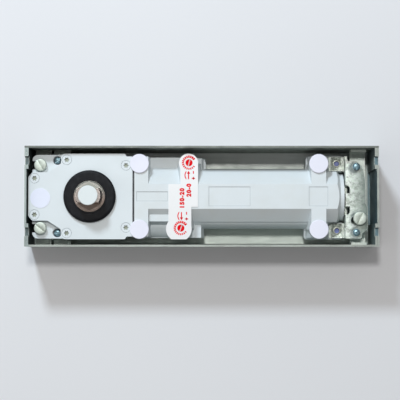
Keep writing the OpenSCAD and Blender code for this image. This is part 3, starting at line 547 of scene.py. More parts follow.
class FLOORSPRING_OT_stage(Piece, Operator):
    """Set the pale floor, the soft lamps and the camera over the box"""

    bl_idname = "floor_spring.stage"
    bl_label = "Stage"

    def execute(self, context):
        floor = start("plane", "floor", size=4, location=(0.09, 0, -0.0002))
        leave()
        bpy.ops.object.transform_apply()
        paper = Paint("floor_paper")
        cloud = paper.noise(0.5, 2)
        floor.data.materials.append(paper.finish(
            Base_Color=paper.mix(cloud, (0.70, 0.71, 0.74, 1), (0.77, 0.78, 0.80, 1)), Roughness=0.85 + cloud * 0.05))
        self.lamp("key", (0.03, 0.42, 1.59), size=0.16, power=8.4, colour=(1, 0.985, 0.96))
        self.lamp("sky", (-0.36, 1.16, 1.18), size=0.22, power=17.6, colour=(0.82, 0.92, 1))
        self.lamp("fill", (-1.3, -0.3, 0.9), size=1.2, power=3, colour=(1, 1, 1))
        self.world(context)
        self.camera(context)
        return {"FINISHED"}

    def lamp(self, name, place, size, power, colour):
        """A soft square lamp turned to the middle of the box."""
        bpy.ops.object.light_add(type="AREA", location=place)
        lamp = bpy.context.object
        lamp.name = name
        adjust(lamp.data, size=size, energy=power, color=colour)
        box_middle = Vector((0.09, 0, 0.02))
        lamp.rotation_euler = (box_middle - Vector(place)).to_track_quat("-Z", "Y").to_euler()

    def world(self, context):
        """Even, slightly warm surroundings, dimmer in reflections."""
        world = bpy.data.worlds.new("studio")
        world.use_nodes = True
        nodes, link = world.node_tree.nodes, world.node_tree.links.new
        background = nodes["Background"]
        background.inputs["Color"].default_value = (1, 0.97, 0.94, 1)
        path = nodes.new("ShaderNodeLightPath")
        strength = nodes.new("ShaderNodeMix")
        strength.inputs["A"].default_value = 0.30
        strength.inputs["B"].default_value = 0.14
        link(path.outputs["Is Glossy Ray"], strength.inputs["Factor"])
        link(strength.outputs["Result"], background.inputs["Strength"])
        context.scene.world = world
        context.scene.view_settings.view_transform = "Standard"

    def camera(self, context):
        """Long lens above the box, tipped a little towards its back and its far end."""
        place = Vector((0.0826, -0.0482, 1.163))
        ahead, aside = 0.0471, 0.0067
        bpy.ops.object.camera_add(location=place)
        camera = bpy.context.object
        camera.name = "camera"
        adjust(camera.data, lens=124.9, sensor_width=36)
        camera.rotation_euler = (math.atan(ahead / place.z), -math.atan(aside / place.z), 0)
        context.scene.camera = camera


# Sheet metal


class FLOORSPRING_OT_box(Piece, Operator):
    """Plate the cement box, its shelves and its rail, and press its weld marks"""

    bl_idname = "floor_spring.box"
    bl_label = "Cement box"

    def execute(self, context):
        finish = context.scene.floor_spring_finish
        paint_nodes(self.sheet(finish.sheet), "cement_box")
        shelf = zinc("shelf_zinc", tone(finish.sheet, 1.12), rough=0.38, metallic=0.85, grain=(1, 0.2, 1))
        paint_nodes(shelf, "fixing_shelves", "seat_shelves")
        paint_nodes(self.rail(tone(finish.sheet, 1.8)), "cross_rail")
        self.weld_marks(shelf)
        return {"FINISHED"}

    def sheet(self, colour):
        """Box sheet with painted light: floor lighter than the walls and lighter still in its shadowed north, a darker
        north rim, bluish painted shade and reflection inside the far end wall, painted shade at the near end and
        painted highlights on the edges.
        """
        paint = Plating("box_zinc", 0.009, (0.12, 1, 1))
        floor = paint.beyond("Z", 2 * MM, 1.6 * MM)
        rim = paint.beyond("Z", RIM - 0.4 * MM, RIM - 0.2 * MM) * paint.beyond("Y", WALL - 0.3 * MM, WALL)
        below = paint.beyond("Z", RIM - 0.2 * MM, RIM - 0.8 * MM)
        east, west = BOX_HIGH.x, BOX_LOW.x
        far = paint.beyond("X", east - 4.5 * MM, east - 2.5 * MM) * paint.beyond("X", east - 0.2 * MM, east - 0.5 * MM)
        end = paint.beyond("X", west + 4.5 * MM, west + 3.5 * MM) * paint.beyond("X", west + 0.2 * MM, west + 0.5 * MM)
        near = end * paint.beyond("X", west + 0.4 * MM, west + 0.6 * MM) * below
        shade = paint.mix(paint.mottle, tone(colour, 0.72), tone(colour, 1.08))
        # Painted light: floor lighter than the walls, lighter still in the north where it lies in the wall's shadow.
        shade = paint.mix(floor, shade, tone(colour, 1.5))
        shade = paint.mix(floor * paint.beyond("Y", 26 * MM, 29 * MM), shade, tone(colour, 2.3))
        # Painted shade and reflection: bluish dark inside the far end wall; painted shade, bluish and then near black,
        # at the near end.
        shade = paint.mix(far * below, shade, (0.12, 0.21, 0.25, 1))
        shade = paint.mix(end * 0.5, shade, (0.20, 0.28, 0.31, 1))
        shade = paint.mix(near * 0.85, shade, (0.05, 0.08, 0.09, 1))
        streaked = paint.mix(paint.grainy * 0.3, shade, tone(colour, 0.8))
        # Painted highlight: edges lighter.
        edge_lit = paint.mix(paint.edge * 0.7, streaked, tone(colour, 1.6))
        return paint.plate(paint.mix(rim, edge_lit, tone(colour, 0.4)), 0.85 - floor * 0.25, 0.4)

    def rail(self, colour):
        """Rail plating, with painted highlights on its edges and near white on the folds that meet the walls."""
        paint = Plating("rail_zinc", 0.006, (1, 0.2, 1))
        # Painted highlight: the folds that meet the walls near white and less metallic.
        fold_highlight = paint.beyond("Y", 36.2 * MM, 36.6 * MM) + paint.beyond("Y", -36.2 * MM, -36.6 * MM)
        shade = paint.mix(paint.mottle, tone(colour, 0.75), tone(colour, 1.1))
        # Painted highlight: edges lighter.
        edge_lit = paint.mix(paint.edge * 0.7, shade, tone(colour, 1.5))
        return paint.finish(
            Base_Color=paint.mix(fold_highlight, edge_lit, (0.90, 0.98, 0.92, 1)),
            Metallic=0.8 - fold_highlight * 0.6,
            Roughness=0.38 + paint.mottle * 0.12 + paint.grainy * 0.08,
            Normal=paint.bump(paint.grainy * 0.6 + paint.mottle * 0.5, 0.00003),
        )

    def weld_marks(self, material):
        """Round spot-weld dimples on the outside of the walls, behind each shelf and the rail's ends."""
        marks = []
        outside = WALL + SHEET
        for node in ("fixing_shelves", "seat_shelves", "cross_rail"):
            low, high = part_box(node)
            level = low.z + 3 * MM if node != "cross_rail" else high.z - 4 * MM
            for x in (low.x + 3.2 * MM, high.x - 3.2 * MM):
                profile = points(0, 0, (2.1, 0), (2.0, 0.18), (1.5, 0.2), (1.2, 0.1))
                mark = turned("weld_mark", (0, 0, 0), profile, 32)
                edit()
                bpy.ops.transform.rotate(value=math.radians(90), orient_axis="X", center_override=(0, 0, 0))
                bpy.ops.transform.translate(value=(x, outside - 0.04 * MM, level))
                leave()
                marks.append(mark)
        both = join("weld_marks", marks)
        apply(both, "MIRROR", use_axis=(False, True, False))
        dress(both, material, "base", "zinc_plate")


class FLOORSPRING_OT_bracket(Piece, Operator):
    """Plate the far bracket, paint the end plug, and press the square washers and hollow rivets"""

    bl_idname = "floor_spring.bracket"
    bl_label = "Far bracket"

    def execute(self, context):
        finish = context.scene.floor_spring_finish
        paint_nodes(self.flecked(finish.bracket), "end_bracket")
        paint_nodes(cast_paint("plug_paint", finish.paint, dust_and_low_shade=0.6), "end_plug")
        self.washers(context, self.washer(finish.bracket))
        return {"FINISHED"}

    def washer(self, colour):
        """Washer plating: mottled in the dished middle, with a near white painted highlight along the raised rim."""
        paint = Paint("washer_zinc")
        mottle = paint.blotches(0.0015, 5, 0.40, 0.62)
        edge = paint.edges(0.0009)
        face = paint.mix(mottle, tone(colour, 0.55), tone(colour, 1.1))
        # Painted highlight: the raised rim near white.
        return paint.finish(
            Base_Color=paint.mix(edge * 0.85, face, (0.95, 0.98, 0.96, 1)),
            Metallic=0.5 - edge * 0.3,
            Roughness=0.3 + mottle * 0.12,
            Normal=paint.bump(mottle, 0.00003),
        )

    def flecked(self, colour):
        """Bracket plating: mottled, full of fine flecks, with painted shade towards the east and round the screws, and
        painted highlights on its edges.
        """
        paint = Paint("bracket_zinc")
        mottle = paint.blotches(0.0028, 8, 0.40, 0.60)
        flecks = paint.blotches(0.0012, 6, 0.48, 0.60)
        edge = paint.edges(0.0006)
        # Painted shade: darker towards the east end.
        east_shade = paint.beyond("X", 0.2085, 0.2240)
        shade = paint.mix(mottle, tone(colour, 0.85), tone(colour, 1.75))
        shade = paint.mix(flecks * 0.65, shade, tone(colour, 2.8))
        shade = paint.mix(east_shade * 0.9, shade, (0.13, 0.17, 0.15, 1))
        # Painted shade: dark round the screws.
        screw_shadows = (0.2140, 0.0235, 5.5 * MM), (0.2150, -0.0290, 5.2 * MM), (0.2165, -0.0176, 7.2 * MM)
        for x, y, reach in screw_shadows:
            shade = paint.mix(paint.near(x, y, reach * 0.6, reach) * 0.7, shade, (0.05, 0.08, 0.09, 1))
        # Painted highlight: edges lighter.
        return paint.finish(
            Base_Color=paint.mix(edge * 0.6, shade, tone(colour, 1.9)),
            Metallic=0.4 - edge * 0.1,
            Roughness=0.38 + mottle * 0.12 + flecks * 0.08,
            Normal=paint.bump(flecks * 0.7 + mottle * 0.4, 0.00009),
        )

    def washers(self, context, material):
        """Square washers with rounded corners and a raised rim, each with a hollow rivet through it."""
        half, hole = 6 * MM, 2.65 * MM
        low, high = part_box("bracket_washers")
        rivet_low, rivet_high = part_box("bracket_rivets")
        middle_x = (low.x + high.x) / 2
        washers, rivets = [], []
        for side in (-1, 1):
            y = side * (rivet_high.y - 3.6 * MM)
            place = Vector((middle_x, y, 0))
            washer = box("washer", (low.x, y - half, low.z), (high.x, y + half, high.z))
            pick(washer, "EDGE", lambda side: abs(side.verts[0].co.z - side.verts[1].co.z) > 0.5 * MM)
            bpy.ops.mesh.bevel(offset=1.4 * MM, segments=5)
            pick(washer, "FACE", lambda face: face.normal.z > 0.9)
            bpy.ops.mesh.inset(thickness=0.9 * MM)
            bpy.ops.transform.translate(value=(0, 0, -0.35 * MM))
            close(washer)
            cut(washer, turned("bore", place, [(hole, low.z - MM), (hole, high.z + MM)], 48))
            washers.append(round_edges(washer, context.scene.floor_spring_sizes.edge))
            profile = points(0, rivet_low.z, (2.3, 0), (2.6, 0))
            profile += points(0, rivet_high.z, (2.6, -0.7), (3.2, -0.6), (3.1, -0.15), (2.6, 0), (2.2, -0.05),
                              (1.95, -0.4), (1.8, -2))
            rivets.append(turned("rivet", place, profile, 48))
        dress(join("square_washers", washers), material, "base", "zinc_bracket", "bracket_washers")
        dress(join("hollow_rivets", rivets), self.rivet(rivet_high.z), "base", "zinc_plate", "bracket_rivets")

    def rivet(self, top):
        """Rivet plating, with bluish painted shade down in the hollow and painted highlights on its edges."""
        paint = Paint("rivet_zinc")
        # Painted shade: bluish dark down in the hollow.
        hollow = paint.beyond("Z", top - 0.5 * MM, top - 0.9 * MM)
        fine = paint.noise(0.0008, 3)
        edge = paint.edges(0.0003)
        shade = paint.mix(fine, (0.30, 0.31, 0.27, 1), (0.46, 0.48, 0.42, 1))
        # Painted highlight: edges lighter.
        shade = paint.mix(edge * 0.5, shade, (0.75, 0.78, 0.70, 1))
        return paint.finish(
            Base_Color=paint.mix(hollow, shade, (0.20, 0.24, 0.50, 1)),
            Metallic=0.7 - hollow * 0.6,
            Roughness=0.34 + fine * 0.12,
            Normal=paint.bump(fine, 0.00002),
        )


# Casting and cover


class FLOORSPRING_OT_casting(Piece, Operator):
    """Paint the housing and its cover, with bare metal in the star sockets, and build up the ledge beside the arm"""

    bl_idname = "floor_spring.casting"
    bl_label = "Housing and cover"

    def execute(self, context):
        finish = context.scene.floor_spring_finish
        casting = cast_paint("housing_paint", tone(finish.paint, 0.98), dust_and_low_shade=0.8)
        paint_nodes(casting, "housing")
        self.ledge(casting)
        paint_nodes(cast_paint("cover_paint", finish.paint, dust_and_low_shade=0.3), "housing_cover")
        paint_nodes(self.screw_paint(finish.paint), "cover_screws")
        paint_nodes(moulded("gasket_fibre", (0.05, 0.055, 0.06), rough=0.8), "cover_gasket")
        paint_nodes(moulded("disc_plastic", (0.76, 0.80, 0.93), rough=0.45), "cover_disc")
        return {"FINISHED"}

    def ledge(self, material):
        """Flat ledge and fuller flank between the near arm and the latching valve's block."""
        west, east, foot, thick = 46 * MM, 73 * MM, 30 * MM, 2.5 * MM
        fill = box("flank_fill", (west, 9.9 * MM, foot), (east, 24.4 * MM, COVER_TOP))
        slope = Vector((0, 11.3, 13.83)).normalized()
        edge = Vector((0, 9.97 * MM, COVER_TOP - 0.02 * MM))
        bpy.ops.mesh.bisect(plane_co=edge, plane_no=slope, clear_outer=True, use_fill=True)
        bpy.ops.mesh.select_all(action="SELECT")
        bpy.ops.mesh.bisect(plane_co=edge - slope * thick, plane_no=slope, clear_inner=True, use_fill=True)
        close(fill)
        shelf = close(box("shelf", (west, 22 * MM, foot), (east, 32.4 * MM, 32.7 * MM)))
        round_edges(shelf, 0.8 * MM, 3)
        dress(join("north_ledge", [fill, shelf]), material, "base", "grey_paint", smooth=10)

    def screw_paint(self, colour):
        """Painted heads whose star sockets show greenish zinc below the paint's edge, their edges painted dark as the
        shade of the gap round each head.
        """
        paint = Paint("screw_paint")
        bare = paint.ramp(((COVER_TOP - 0.15 * MM) - paint.along("Z")) * 2500.0, (0.0, 0), (0.6, 1))
        fine = paint.noise(0.0008, 2)
        edge = paint.edges(0.0006)
        # Painted shade: edges dark, as the gap round each head.
        shade = paint.mix(edge, tone(colour, 0.99), (0.11, 0.13, 0.13, 1))
        return paint.finish(
            Base_Color=paint.mix(bare, shade, (0.36, 0.40, 0.33, 1)),
            Roughness=0.4 + fine * 0.1,
            Metallic=bare * 0.3,
            Normal=paint.bump(fine, 0.00002),
        )


# Spindle


class FLOORSPRING_OT_spindle(Piece, Operator):
    """Give the spindle its ground steel, its hexagon shoulder, its white cap and its black seal ring"""

    bl_idname = "floor_spring.spindle"
    bl_label = "Spindle"

    def execute(self, context):
        finish = context.scene.floor_spring_finish
        paint_nodes(self.steel(finish.steel), "spindle")
        paint_nodes(moulded("cap_plastic", (0.70, 0.76, 0.77), rough=0.4, grain=0.0009), "spindle_cap")
        self.shoulder()
        self.ring(finish.ring)
        return {"FINISHED"}

    def steel(self, colour):
        """Ground steel, with the shoulder below the head painted lighter and browner on its south side and dark on its
        north as painted light, and painted highlights on its edges.
        """
        paint = Paint("spindle_steel")
        marks = paint.noise(0.0014, 2, (1, 1, 14))
        stain = paint.blotches(0.006, 5, 0.45, 0.8)
        edge = paint.edges(0.0005)
        head = paint.beyond("Z", COVER_TOP + 5.2 * MM, COVER_TOP + 5.6 * MM)
        # Painted light: the shoulder lighter and browner on its south side, dark on its north.
        shoulder = paint.mix(paint.beyond("Y", -2 * MM, 5 * MM), (0.66, 0.52, 0.45, 1), (0.27, 0.28, 0.25, 1))
        shade = paint.mix(head, shoulder, tone(colour, 0.72))
        stained = paint.mix(stain * 0.35 + marks * 0.1, shade, (0.22, 0.22, 0.21, 1))
        # Painted highlight: edges near white.
        return paint.finish(
            Base_Color=paint.mix(edge * 0.8, stained, (1, 0.86, 0.78, 1)),
            Metallic=0.35 + head * 0.65,
            Roughness=0.3 - head * 0.1 + stain * 0.08 + marks * 0.04,
            Normal=paint.bump(marks, 0.000004),
        )

    def shoulder(self):
        """Low hexagon that the cutter leaves on the shoulder, with a near white painted highlight on its bevelled edge
        and its faces painted lighter and browner on the south side than on the north.
        """
        paint = Paint("shoulder_steel")
        marks = paint.noise(0.0014, 2, (1, 1, 14))
        edge = paint.edges(0.0006)
        # Painted light: faces lighter and browner on the south side, dark on the north.
        face = paint.mix(paint.beyond("Y", -2 * MM, 5 * MM), (0.42, 0.32, 0.27, 1), (0.27, 0.28, 0.25, 1))
        # Painted highlight: edges near white.
        material = paint.finish(
            Base_Color=paint.mix(edge, face, (1, 0.88, 0.80, 1)),
            Metallic=0.35 - edge * 0.2,
            Roughness=0.28 + marks * 0.06,
            Normal=paint.bump(marks, 0.000004),
        )
        foot = COVER_TOP + 3.5 * MM
        hexagon = start("circle", "shoulder", vertices=6, radius=12.15 * MM, fill_type="NGON", location=(0, 0, foot))
        bpy.ops.mesh.extrude_region_move(TRANSFORM_OT_translate={"value": (0, 0, 1.45 * MM)})
        close(hexagon)
        round_edges(hexagon, 0.3 * MM, 1, 20)
        dress(hexagon, material, "spindle", "bright_steel", smooth=20)

    def ring(self, colour):
        """Black seal ring with a rounded rim, two turned grooves and a lip round the spindle."""
        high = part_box("spindle_seal_ring")[1]
        inner, outer, top = 12.6 * MM, high.x, high.z - COVER_TOP
        profile = [(inner, 0), (outer, 0)]
        profile += points(outer, top, (0, -1.5), (-0.25, -0.8), (-0.8, -0.25), (-1.7, 0), (-2.6, 0),
                          (-2.7, -0.12), (-2.9, -0.12), (-3.0, 0))
        profile += points(inner, top, (2.2, 0), (2.1, -0.25), (1.6, -0.25), (1.3, -0.02), (0.5, -0.02), (0, -0.5))
        ring = turned("seal_ring", (0, 0, COVER_TOP), profile, 128, ring=True)
        dress(ring, self.rubber(colour), "base", "black_rubber", "spindle_seal_ring")

    def rubber(self, colour):
        """Matt black with the fine rings of its turning, a little dust and a painted sheen along its edges."""
        paint = Paint("ring_rubber")
        flat = paint.stretched((1, 1, 0))
        radius = paint.node("VectorMath", {"operation": "LENGTH"}, {0: flat}, "Value")
        rings = paint.node("Math", {"operation": "SINE"}, {0: radius * 9000.0})
        fine = paint.noise(0.0012, 3)
        dust = paint.blotches(0.004, 6, 0.5, 0.9)
        edge = paint.edges(0.0005)
        shade = paint.mix(dust * 0.06, tone(colour, 0.8), (0.30, 0.31, 0.33, 1))
        # Painted sheen: edges lighter.
        return paint.finish(
            Base_Color=paint.mix(edge * 0.25, shade, tone(colour, 3.0)),
            Roughness=0.42 + fine * 0.1 + dust * 0.1,
            Specular_IOR_Level=0.12,
            Normal=paint.bump(rings * 0.12 + fine * 0.5, 0.00003),
        )


class FLOORSPRING_OT_pads(Piece, Operator):
    """Mould the four white rest pads with a rounded rim"""

    bl_idname = "floor_spring.pads"
    bl_label = "Rest pads"

    def execute(self, context):
        finish = context.scene.floor_spring_finish
        white = moulded("pad_plastic", finish.pad, rough=0.42, grain=0.0009, dust=0.1)
        low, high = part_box("rest_pads")
        thick = high.z - low.z
        radius = 7.7 * MM
        profile = points(radius, 0, (-0.1, 0), (0, 0.15)) + points(radius, thick, (0, -0.4), (-0.12, -0.15), (-0.4, 0))
        pads = []
        for x in (low.x + radius, high.x - radius):
            for side in (-1, 1):
                pads.append(turned("pad", (x, side * (high.y - radius), low.z), profile, 72))
        dress(join("white_pads", pads), white, "base", "white_pad", "rest_pads", smooth=20)
        return {"FINISHED"}


# Valve label


class FLOORSPRING_OT_label(Piece, Operator):
    """Print the valve label: dial strokes, arrows, signs and plain numbers in red on white"""

    bl_idname = "floor_spring.label"
    bl_label = "Valve label"

    def execute(self, context):
        finish = context.scene.floor_spring_finish
        paint_nodes(moulded("label_sheet", (0.82, 0.83, 0.84), rough=0.3, grain=0.0015, dust=0.05), "valve_label")
        red = self.ink(finish.print_red)
        strokes = context.scene.floor_spring_sizes.dial_strokes
        marks = []
        for valve in (LATCHING_VALVE, CLOSING_VALVE):
            marks += self.dial(valve, strokes)
        marks += self.arrow((79.8, 13.9), (79.8, 20.3))
        marks += self.arrow((74.1, -12.7), (74.1, -18.9))
        marks += [self.arc((81.3, 17.1), 4.4, 42), self.arc((75.8, -15.8), 4.6, 42)]
        for x, y, upright in ((83.7, 19.4, False), (83.7, 14.6, True), (78.2, -13.6, False), (78.2, -18.2, True)):
            marks.append(self.bar((x, y), (0.8, 2.2)))
            if upright:
                marks.append(self.bar((x, y), (2.6, 0.8)))
        marks.append(self.number("20-0", (80.2, 5.0)))
        marks.append(self.number("150-20", (74.7, -1.6)))
        dress(join("label_print", marks), red, "base", "red_valve")
        self.heads(finish.print_red)
        return {"FINISHED"}

    def ink(self, colour):
        """Screen print, a little thin in places."""
        paint = Paint("red_print")
        thin = paint.blotches(0.0006, 4, 0.45, 0.9)
        return paint.finish(
            Base_Color=paint.mix(thin * 0.12, tone(colour, 1), (0.90, 0.25, 0.25, 1)),
            Roughness=0.6 + thin * 0.2,
            Specular_IOR_Level=0.03,
            Normal=paint.bump(thin, 0.00001),
        )

    def dial(self, valve, count):
        """Ring of strokes round a valve, open to the east, each thinner than the last."""
        x, y = valve.x / MM, valve.y / MM
        radius, first, sweep = 4.95, 38, 284
        made = []
        for index in range(count):
            share = index / (count - 1)
            stroke = self.bar((x + radius, y), (2.0 - 0.5 * share, 1.25 - 0.35 * share))
            made.append(spin_about(stroke, first + sweep * share, (x * MM, y * MM, 0)))
        return made

    def bar(self, centre, size):
        """A bar of ink, in millimetres."""
        x, y = centre
        wide, tall = size
        low = ((x - wide / 2) * MM, (y - tall / 2) * MM, LABEL_TOP - 0.02 * MM)
        high = ((x + wide / 2) * MM, (y + tall / 2) * MM, LABEL_TOP + 0.05 * MM)
        return close(box("bar", low, high))

    def arrow(self, tail, head):
        """An arrow along Y with a triangular head, in millimetres."""
        up = 1 if head[1] > tail[1] else -1
        shaft = self.bar((tail[0], (tail[1] + head[1] - 1.4 * up) / 2), (0.85, abs(head[1] - tail[1]) - 1.4))
        middle_of_tip = Vector((head[0] * MM, (head[1] - 1.2 * up) * MM, LABEL_TOP + 0.015 * MM))
        tip = start("cylinder", "arrow_tip", vertices=3, radius=1.6 * MM, depth=0.07 * MM, location=middle_of_tip)
        if up < 0:
            bpy.ops.transform.rotate(value=math.pi, orient_axis="Z", center_override=middle_of_tip)
        return [shaft, close(tip)]

    def arc(self, centre, radius, half):
        """A bent stroke that bulges west, half as many degrees each way, in millimetres."""
        place = Vector((centre[0] * MM, centre[1] * MM, LABEL_TOP - 0.02 * MM))
        inner, outer = (radius - 0.4) * MM, (radius + 0.4) * MM
        stroke = turned("arc", place, [(inner, 0), (outer, 0), (outer, 0.07 * MM), (inner, 0.07 * MM)], 72, ring=True)
        edit()
        edge = place.x - radius * MM * math.cos(math.radians(half))
        bpy.ops.mesh.bisect(plane_co=(edge, 0, 0), plane_no=(1, 0, 0), clear_outer=True, use_fill=True)
        return close(stroke)

    def number(self, text, centre):
        """A plain number that reads northwards, its centre in millimetres."""
        bpy.ops.object.text_add(location=(0, 0, 0))
        letters = bpy.context.object
        adjust(letters.data, body=text, size=4.7 * MM, space_character=1.25, offset=0.32 * MM,
               align_x="CENTER", align_y="CENTER", extrude=0.035 * MM)
        activate(letters)
        bpy.ops.object.convert(target="MESH")
        letters.rotation_euler = (0, 0, math.radians(90))
        letters.location = (centre[0] * MM, centre[1] * MM, LABEL_TOP + 0.015 * MM)
        bpy.ops.object.transform_apply()
        return letters

    def heads(self, colour):
        """The valves' red heads, white in the slot."""
        paint = Paint("valve_head")
        floor = paint.ramp(((LABEL_TOP - 0.25 * MM) - paint.along("Z")) * 4000.0, (0.0, 0), (0.5, 1))
        fine = paint.noise(0.0008, 2)
        paint_nodes(paint.finish(
            Base_Color=paint.mix(floor, tone(colour, 1), (0.85, 0.84, 0.84, 1)),
            Roughness=0.5 + fine * 0.1,
            Specular_IOR_Level=0.06,
            Normal=paint.bump(fine, 0.00001),
        ), "closing_valve", "latching_valve")


# Screws


def thread(name, centre, low, high, radius, pitch):
    """A helical ridge wound up a core from low to high, closed at both ends."""
    depth, half = 0.55 * pitch, 0.46 * pitch
    ridge = start("circle", name, vertices=3, radius=1)
    mesh = bmesh.from_edit_mesh(ridge.data)
    corners = ((radius, 0), (radius - depth, -half), (radius - depth, half))
    for corner, (out, up) in zip(mesh.verts, corners):
        corner.co = (out, 0, up)
    bmesh.update_edit_mesh(ridge.data)
    leave()
    turns = max(1, round((high - low) / pitch - 1))
    apply(ridge, "SCREW", axis="Z", screw_offset=pitch, iterations=turns, steps=24, render_steps=24)
    edit()
    bpy.ops.mesh.fill_holes(sides=3)
    bpy.ops.mesh.select_all(action="SELECT")
    bpy.ops.transform.translate(value=(*centre, low + pitch / 2))
    return close(ridge)


def threaded(centre, low, high, radius, pitch):
    """A screw's shank with a chamfered foot and its thread, as a list of pieces."""
    core = radius - 0.5 * pitch
    profile = points(core, low, (-0.5, 0), (0, 0.5)) + points(core, high, (0, -0.3), (0, 0))
    shank = turned("shank", (*centre, 0), profile, 48)
    return [shank, thread("shank_thread", centre, low + 0.4 * MM, high - 0.2 * MM, radius, pitch)]


def cut_slot(piece, centre, top, length, width, depth, degrees):
    """Cuts a straight slot into a head's top, turned by some degrees."""
    x, y = centre
    tool = close(box("slot", (x - length, y - width / 2, top - depth), (x + length, y + width / 2, top + MM)))
    cut(piece, spin_about(tool, degrees, (x, y, 0)))


class FLOORSPRING_OT_screws(Piece, Operator):
    """Turn the cheese head fixing screws and the four height screws, with slots and real threads"""

    bl_idname = "floor_spring.screws"
    bl_label = "Fixing and height screws"

    def execute(self, context):
        sizes = context.scene.floor_spring_sizes
        pale = zinc("screw_zinc", (0.62, 0.68, 0.61), rough=0.42, metallic=0.45, blotch=0.003)
        blue = zinc("height_zinc", (0.26, 0.40, 0.46), rough=0.28, metallic=0.8, blotch=0.003)
        low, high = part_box("near_fixing_screws")
        head = 5 * MM
        near = []
        for side, turn in ((-1, -38), (1, -58)):
            spot = ((low.x + high.x) / 2, side * (high.y - head))
            near += self.cheese(spot, low.z, high.z, head, turn, sizes)
        dress(join("near_cheese_screws", near), pale, "base", "zinc_screw", "near_fixing_screws")
        low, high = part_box("far_fixing_screw")
        spot = ((low.x + high.x) / 2, (low.y + high.y) / 2)
        far = self.cheese(spot, low.z, high.z, (high.x - low.x) / 2, 62, sizes)
        dress(join("far_cheese_screw", far), pale, "base", "zinc_screw", "far_fixing_screw")
        for node, turn in (("near_height_screw_left", 48), ("near_height_screw_right", 10),
                           ("far_height_screw_left", 95), ("far_height_screw_right", 20)):
            self.headless(node, turn, blue, sizes)
        return {"FINISHED"}

    def cheese(self, spot, low, high, head, turn, sizes):
        """Cheese head with a domed, turned top, a straight slot and a threaded shank."""
        seat = high - 4 * MM
        profile = points(head, seat, (-0.3, 0), (0, 0.3))
        profile += points(head, high, (0, -0.6), (-0.1, -0.3), (-0.35, -0.1), (-0.8, 0))
        profile += points(0, high, (0.6, 0), (0.3, -0.12))
        top = turned("cheese_head", (*spot, 0), profile, 72)
        cut_slot(top, spot, high, length=head + MM, width=1.3 * MM, depth=1.7 * MM, degrees=turn)
        round_edges(top, 0.12 * MM, 2, 40)
        return [top] + threaded(spot, low, seat, 3 * MM, sizes.pitch)

    def headless(self, node, turn, material, sizes):
        """Set screw threaded over its whole length, with a slot across its flat top."""
        low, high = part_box(node)
        spot = ((low.x + high.x) / 2, (low.y + high.y) / 2)
        radius = (high.x - low.x) / 2
        core = radius - 0.5 * sizes.pitch
        profile = [(radius * 0.6, low.z), (core, low.z + 0.9 * MM)]
        profile += points(core, high.z, (0, -0.5), (-0.3, -0.1), (-0.5, 0))
        rod = turned("rod", (*spot, 0), profile, 56)
        ridge = thread("ridge", spot, low.z + MM, high.z - 0.5 * MM, radius, sizes.pitch)
        for solid in (rod, ridge):
            cut_slot(solid, spot, high.z, length=radius + MM, width=MM, depth=1.5 * MM, degrees=turn)
        dress(join("threaded_" + node, [rod, ridge]), material, node, "blue_zinc", node)


# Mechanism


class FLOORSPRING_OT_spring(Piece, Operator):
    """Wind the closing spring from round wire, with closed and ground ends"""

    bl_idname = "floor_spring.spring"
    bl_label = "Closing spring"

    def execute(self, context):
        low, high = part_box("closing_spring")
        wire = 2.5 * MM
        coil = (high.y - low.y) / 2 - wire
        start_x, end_x = low.x + wire, high.x - wire
        turns, steps, closed = 13, 40, 5.6 * MM
        pitch = (end_x - start_x - 2 * closed) / (turns - 2)
        line = bpy.data.curves.new("spring_wire", "CURVE")
        adjust(line, dimensions="3D", bevel_depth=wire, bevel_resolution=5, use_fill_caps=True)
        path = line.splines.new("POLY")
        path.points.add(turns * steps)
        for index, point in enumerate(path.points):
            turn = index / steps
            open_turns = max(0, min(turn, turns - 1) - 1)
            along = (turn - open_turns) * closed + open_turns * pitch
            angle = math.tau * turn
            point.co = (start_x + along, coil * math.cos(angle), CYLINDER_AXIS + coil * math.sin(angle), 1)
        spring = bpy.data.objects.new("closing_spring_wire", line)
        context.collection.objects.link(spring)
        activate(spring)
        bpy.ops.object.convert(target="MESH")
        spring = context.object
        wire_steel = zinc("wound_steel", (0.10, 0.11, 0.13), rough=0.32, metallic=0.8, blotch=0.004)
        edit()
        for face, side in ((low.x + 0.3 * MM, -1), (high.x - 0.3 * MM, 1)):
            bpy.ops.mesh.bisect(
                plane_co=(face, 0, CYLINDER_AXIS), plane_no=(side, 0, 0), clear_outer=True, use_fill=True)
            bpy.ops.mesh.select_all(action="SELECT")
        close(spring)
        dress(spring, wire_steel, "base", "spring_steel", "closing_spring", smooth=40)
        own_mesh(spring)
        return {"FINISHED"}


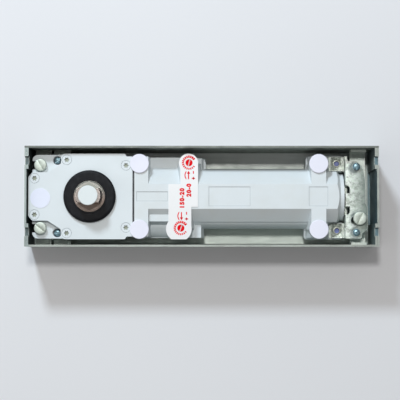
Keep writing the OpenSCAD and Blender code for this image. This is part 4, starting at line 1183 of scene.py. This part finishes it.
class FLOORSPRING_OT_works(Piece, Operator):
    """Finish the hidden works: bearings, cam, yoke, rollers, piston, seals, screws and valves"""

    bl_idname = "floor_spring.works"
    bl_label = "Hidden works"

    def execute(self, context):
        race = machined("race_steel", (0.55, 0.56, 0.58), rough=0.16, grain=(1, 1, 12))
        plate = machined("plate_steel", (0.42, 0.43, 0.45), rough=0.28, grain=(1, 8, 1))
        hard = machined("cam_steel", (0.24, 0.25, 0.28), rough=0.3, grain=(1, 1, 10))
        bronze = machined("bush_bronze", (0.46, 0.26, 0.10), rough=0.3, grain=(1, 1, 12))
        rubber = moulded("seal_rubber", (0.012, 0.013, 0.014), rough=0.5, grain=0.0006)
        paint_nodes(race, "upper_outer_race", "upper_inner_race", "upper_balls", "check_ball")
        paint_nodes(plate, "upper_yoke_plate", "lower_yoke_plate", "roller_pins", "yoke_pins", "piston")
        paint_nodes(hard, "heart_cam", "cam_key", "pressure_roller", "return_roller")
        paint_nodes(rubber, "shaft_seal", "end_plug_seal", "valve_seals")
        paint_nodes(moulded("piston_ring", (0.62, 0.60, 0.54), rough=0.4, grain=0.0005), "piston_seal")
        paint_nodes(bronze, "lower_bush", "check_seat")
        paint_nodes(zinc("seat_zinc", (0.50, 0.52, 0.50), rough=0.34, grain=(9, 1, 1)), "spring_seat", "force_screw")
        return {"FINISHED"}


# Add-on


class FLOORSPRING_PT_panel(Panel):
    """Lists the dressing steps in the 3D view's sidebar"""

    bl_idname = "FLOORSPRING_PT_panel"
    bl_label = "Floor Spring"
    bl_space_type = "VIEW_3D"
    bl_region_type = "UI"
    bl_category = "Floor Spring"

    def draw(self, context):
        layout = self.layout
        for group in (context.scene.floor_spring_finish, context.scene.floor_spring_sizes):
            column = layout.box().column()
            for name in group.bl_rna.properties.keys():
                if name not in {"rna_type", "name"}:
                    column.prop(group, name)
        column = layout.column(align=True)
        for step in STEPS:
            column.operator(step.bl_idname)


STEPS = (
    FLOORSPRING_OT_stage,
    FLOORSPRING_OT_box,
    FLOORSPRING_OT_bracket,
    FLOORSPRING_OT_casting,
    FLOORSPRING_OT_spindle,
    FLOORSPRING_OT_pads,
    FLOORSPRING_OT_label,
    FLOORSPRING_OT_screws,
    FLOORSPRING_OT_spring,
    FLOORSPRING_OT_works,
)
CLASSES = (FloorSpringFinish, FloorSpringSizes, *STEPS, FLOORSPRING_PT_panel)


def register():
    for kind in CLASSES:
        bpy.utils.register_class(kind)
    bpy.types.Scene.floor_spring_finish = PointerProperty(type=FloorSpringFinish)
    bpy.types.Scene.floor_spring_sizes = PointerProperty(type=FloorSpringSizes)


def unregister():
    del bpy.types.Scene.floor_spring_sizes
    del bpy.types.Scene.floor_spring_finish
    for kind in reversed(CLASSES):
        bpy.utils.unregister_class(kind)


def main():
    register()
    steps = bpy.ops.floor_spring
    steps.stage()
    steps.box()
    steps.bracket()
    steps.casting()
    steps.spindle()
    steps.pads()
    steps.label()
    steps.screws()
    steps.spring()
    steps.works()
    deselect()


if __name__ == "__main__":
    main()
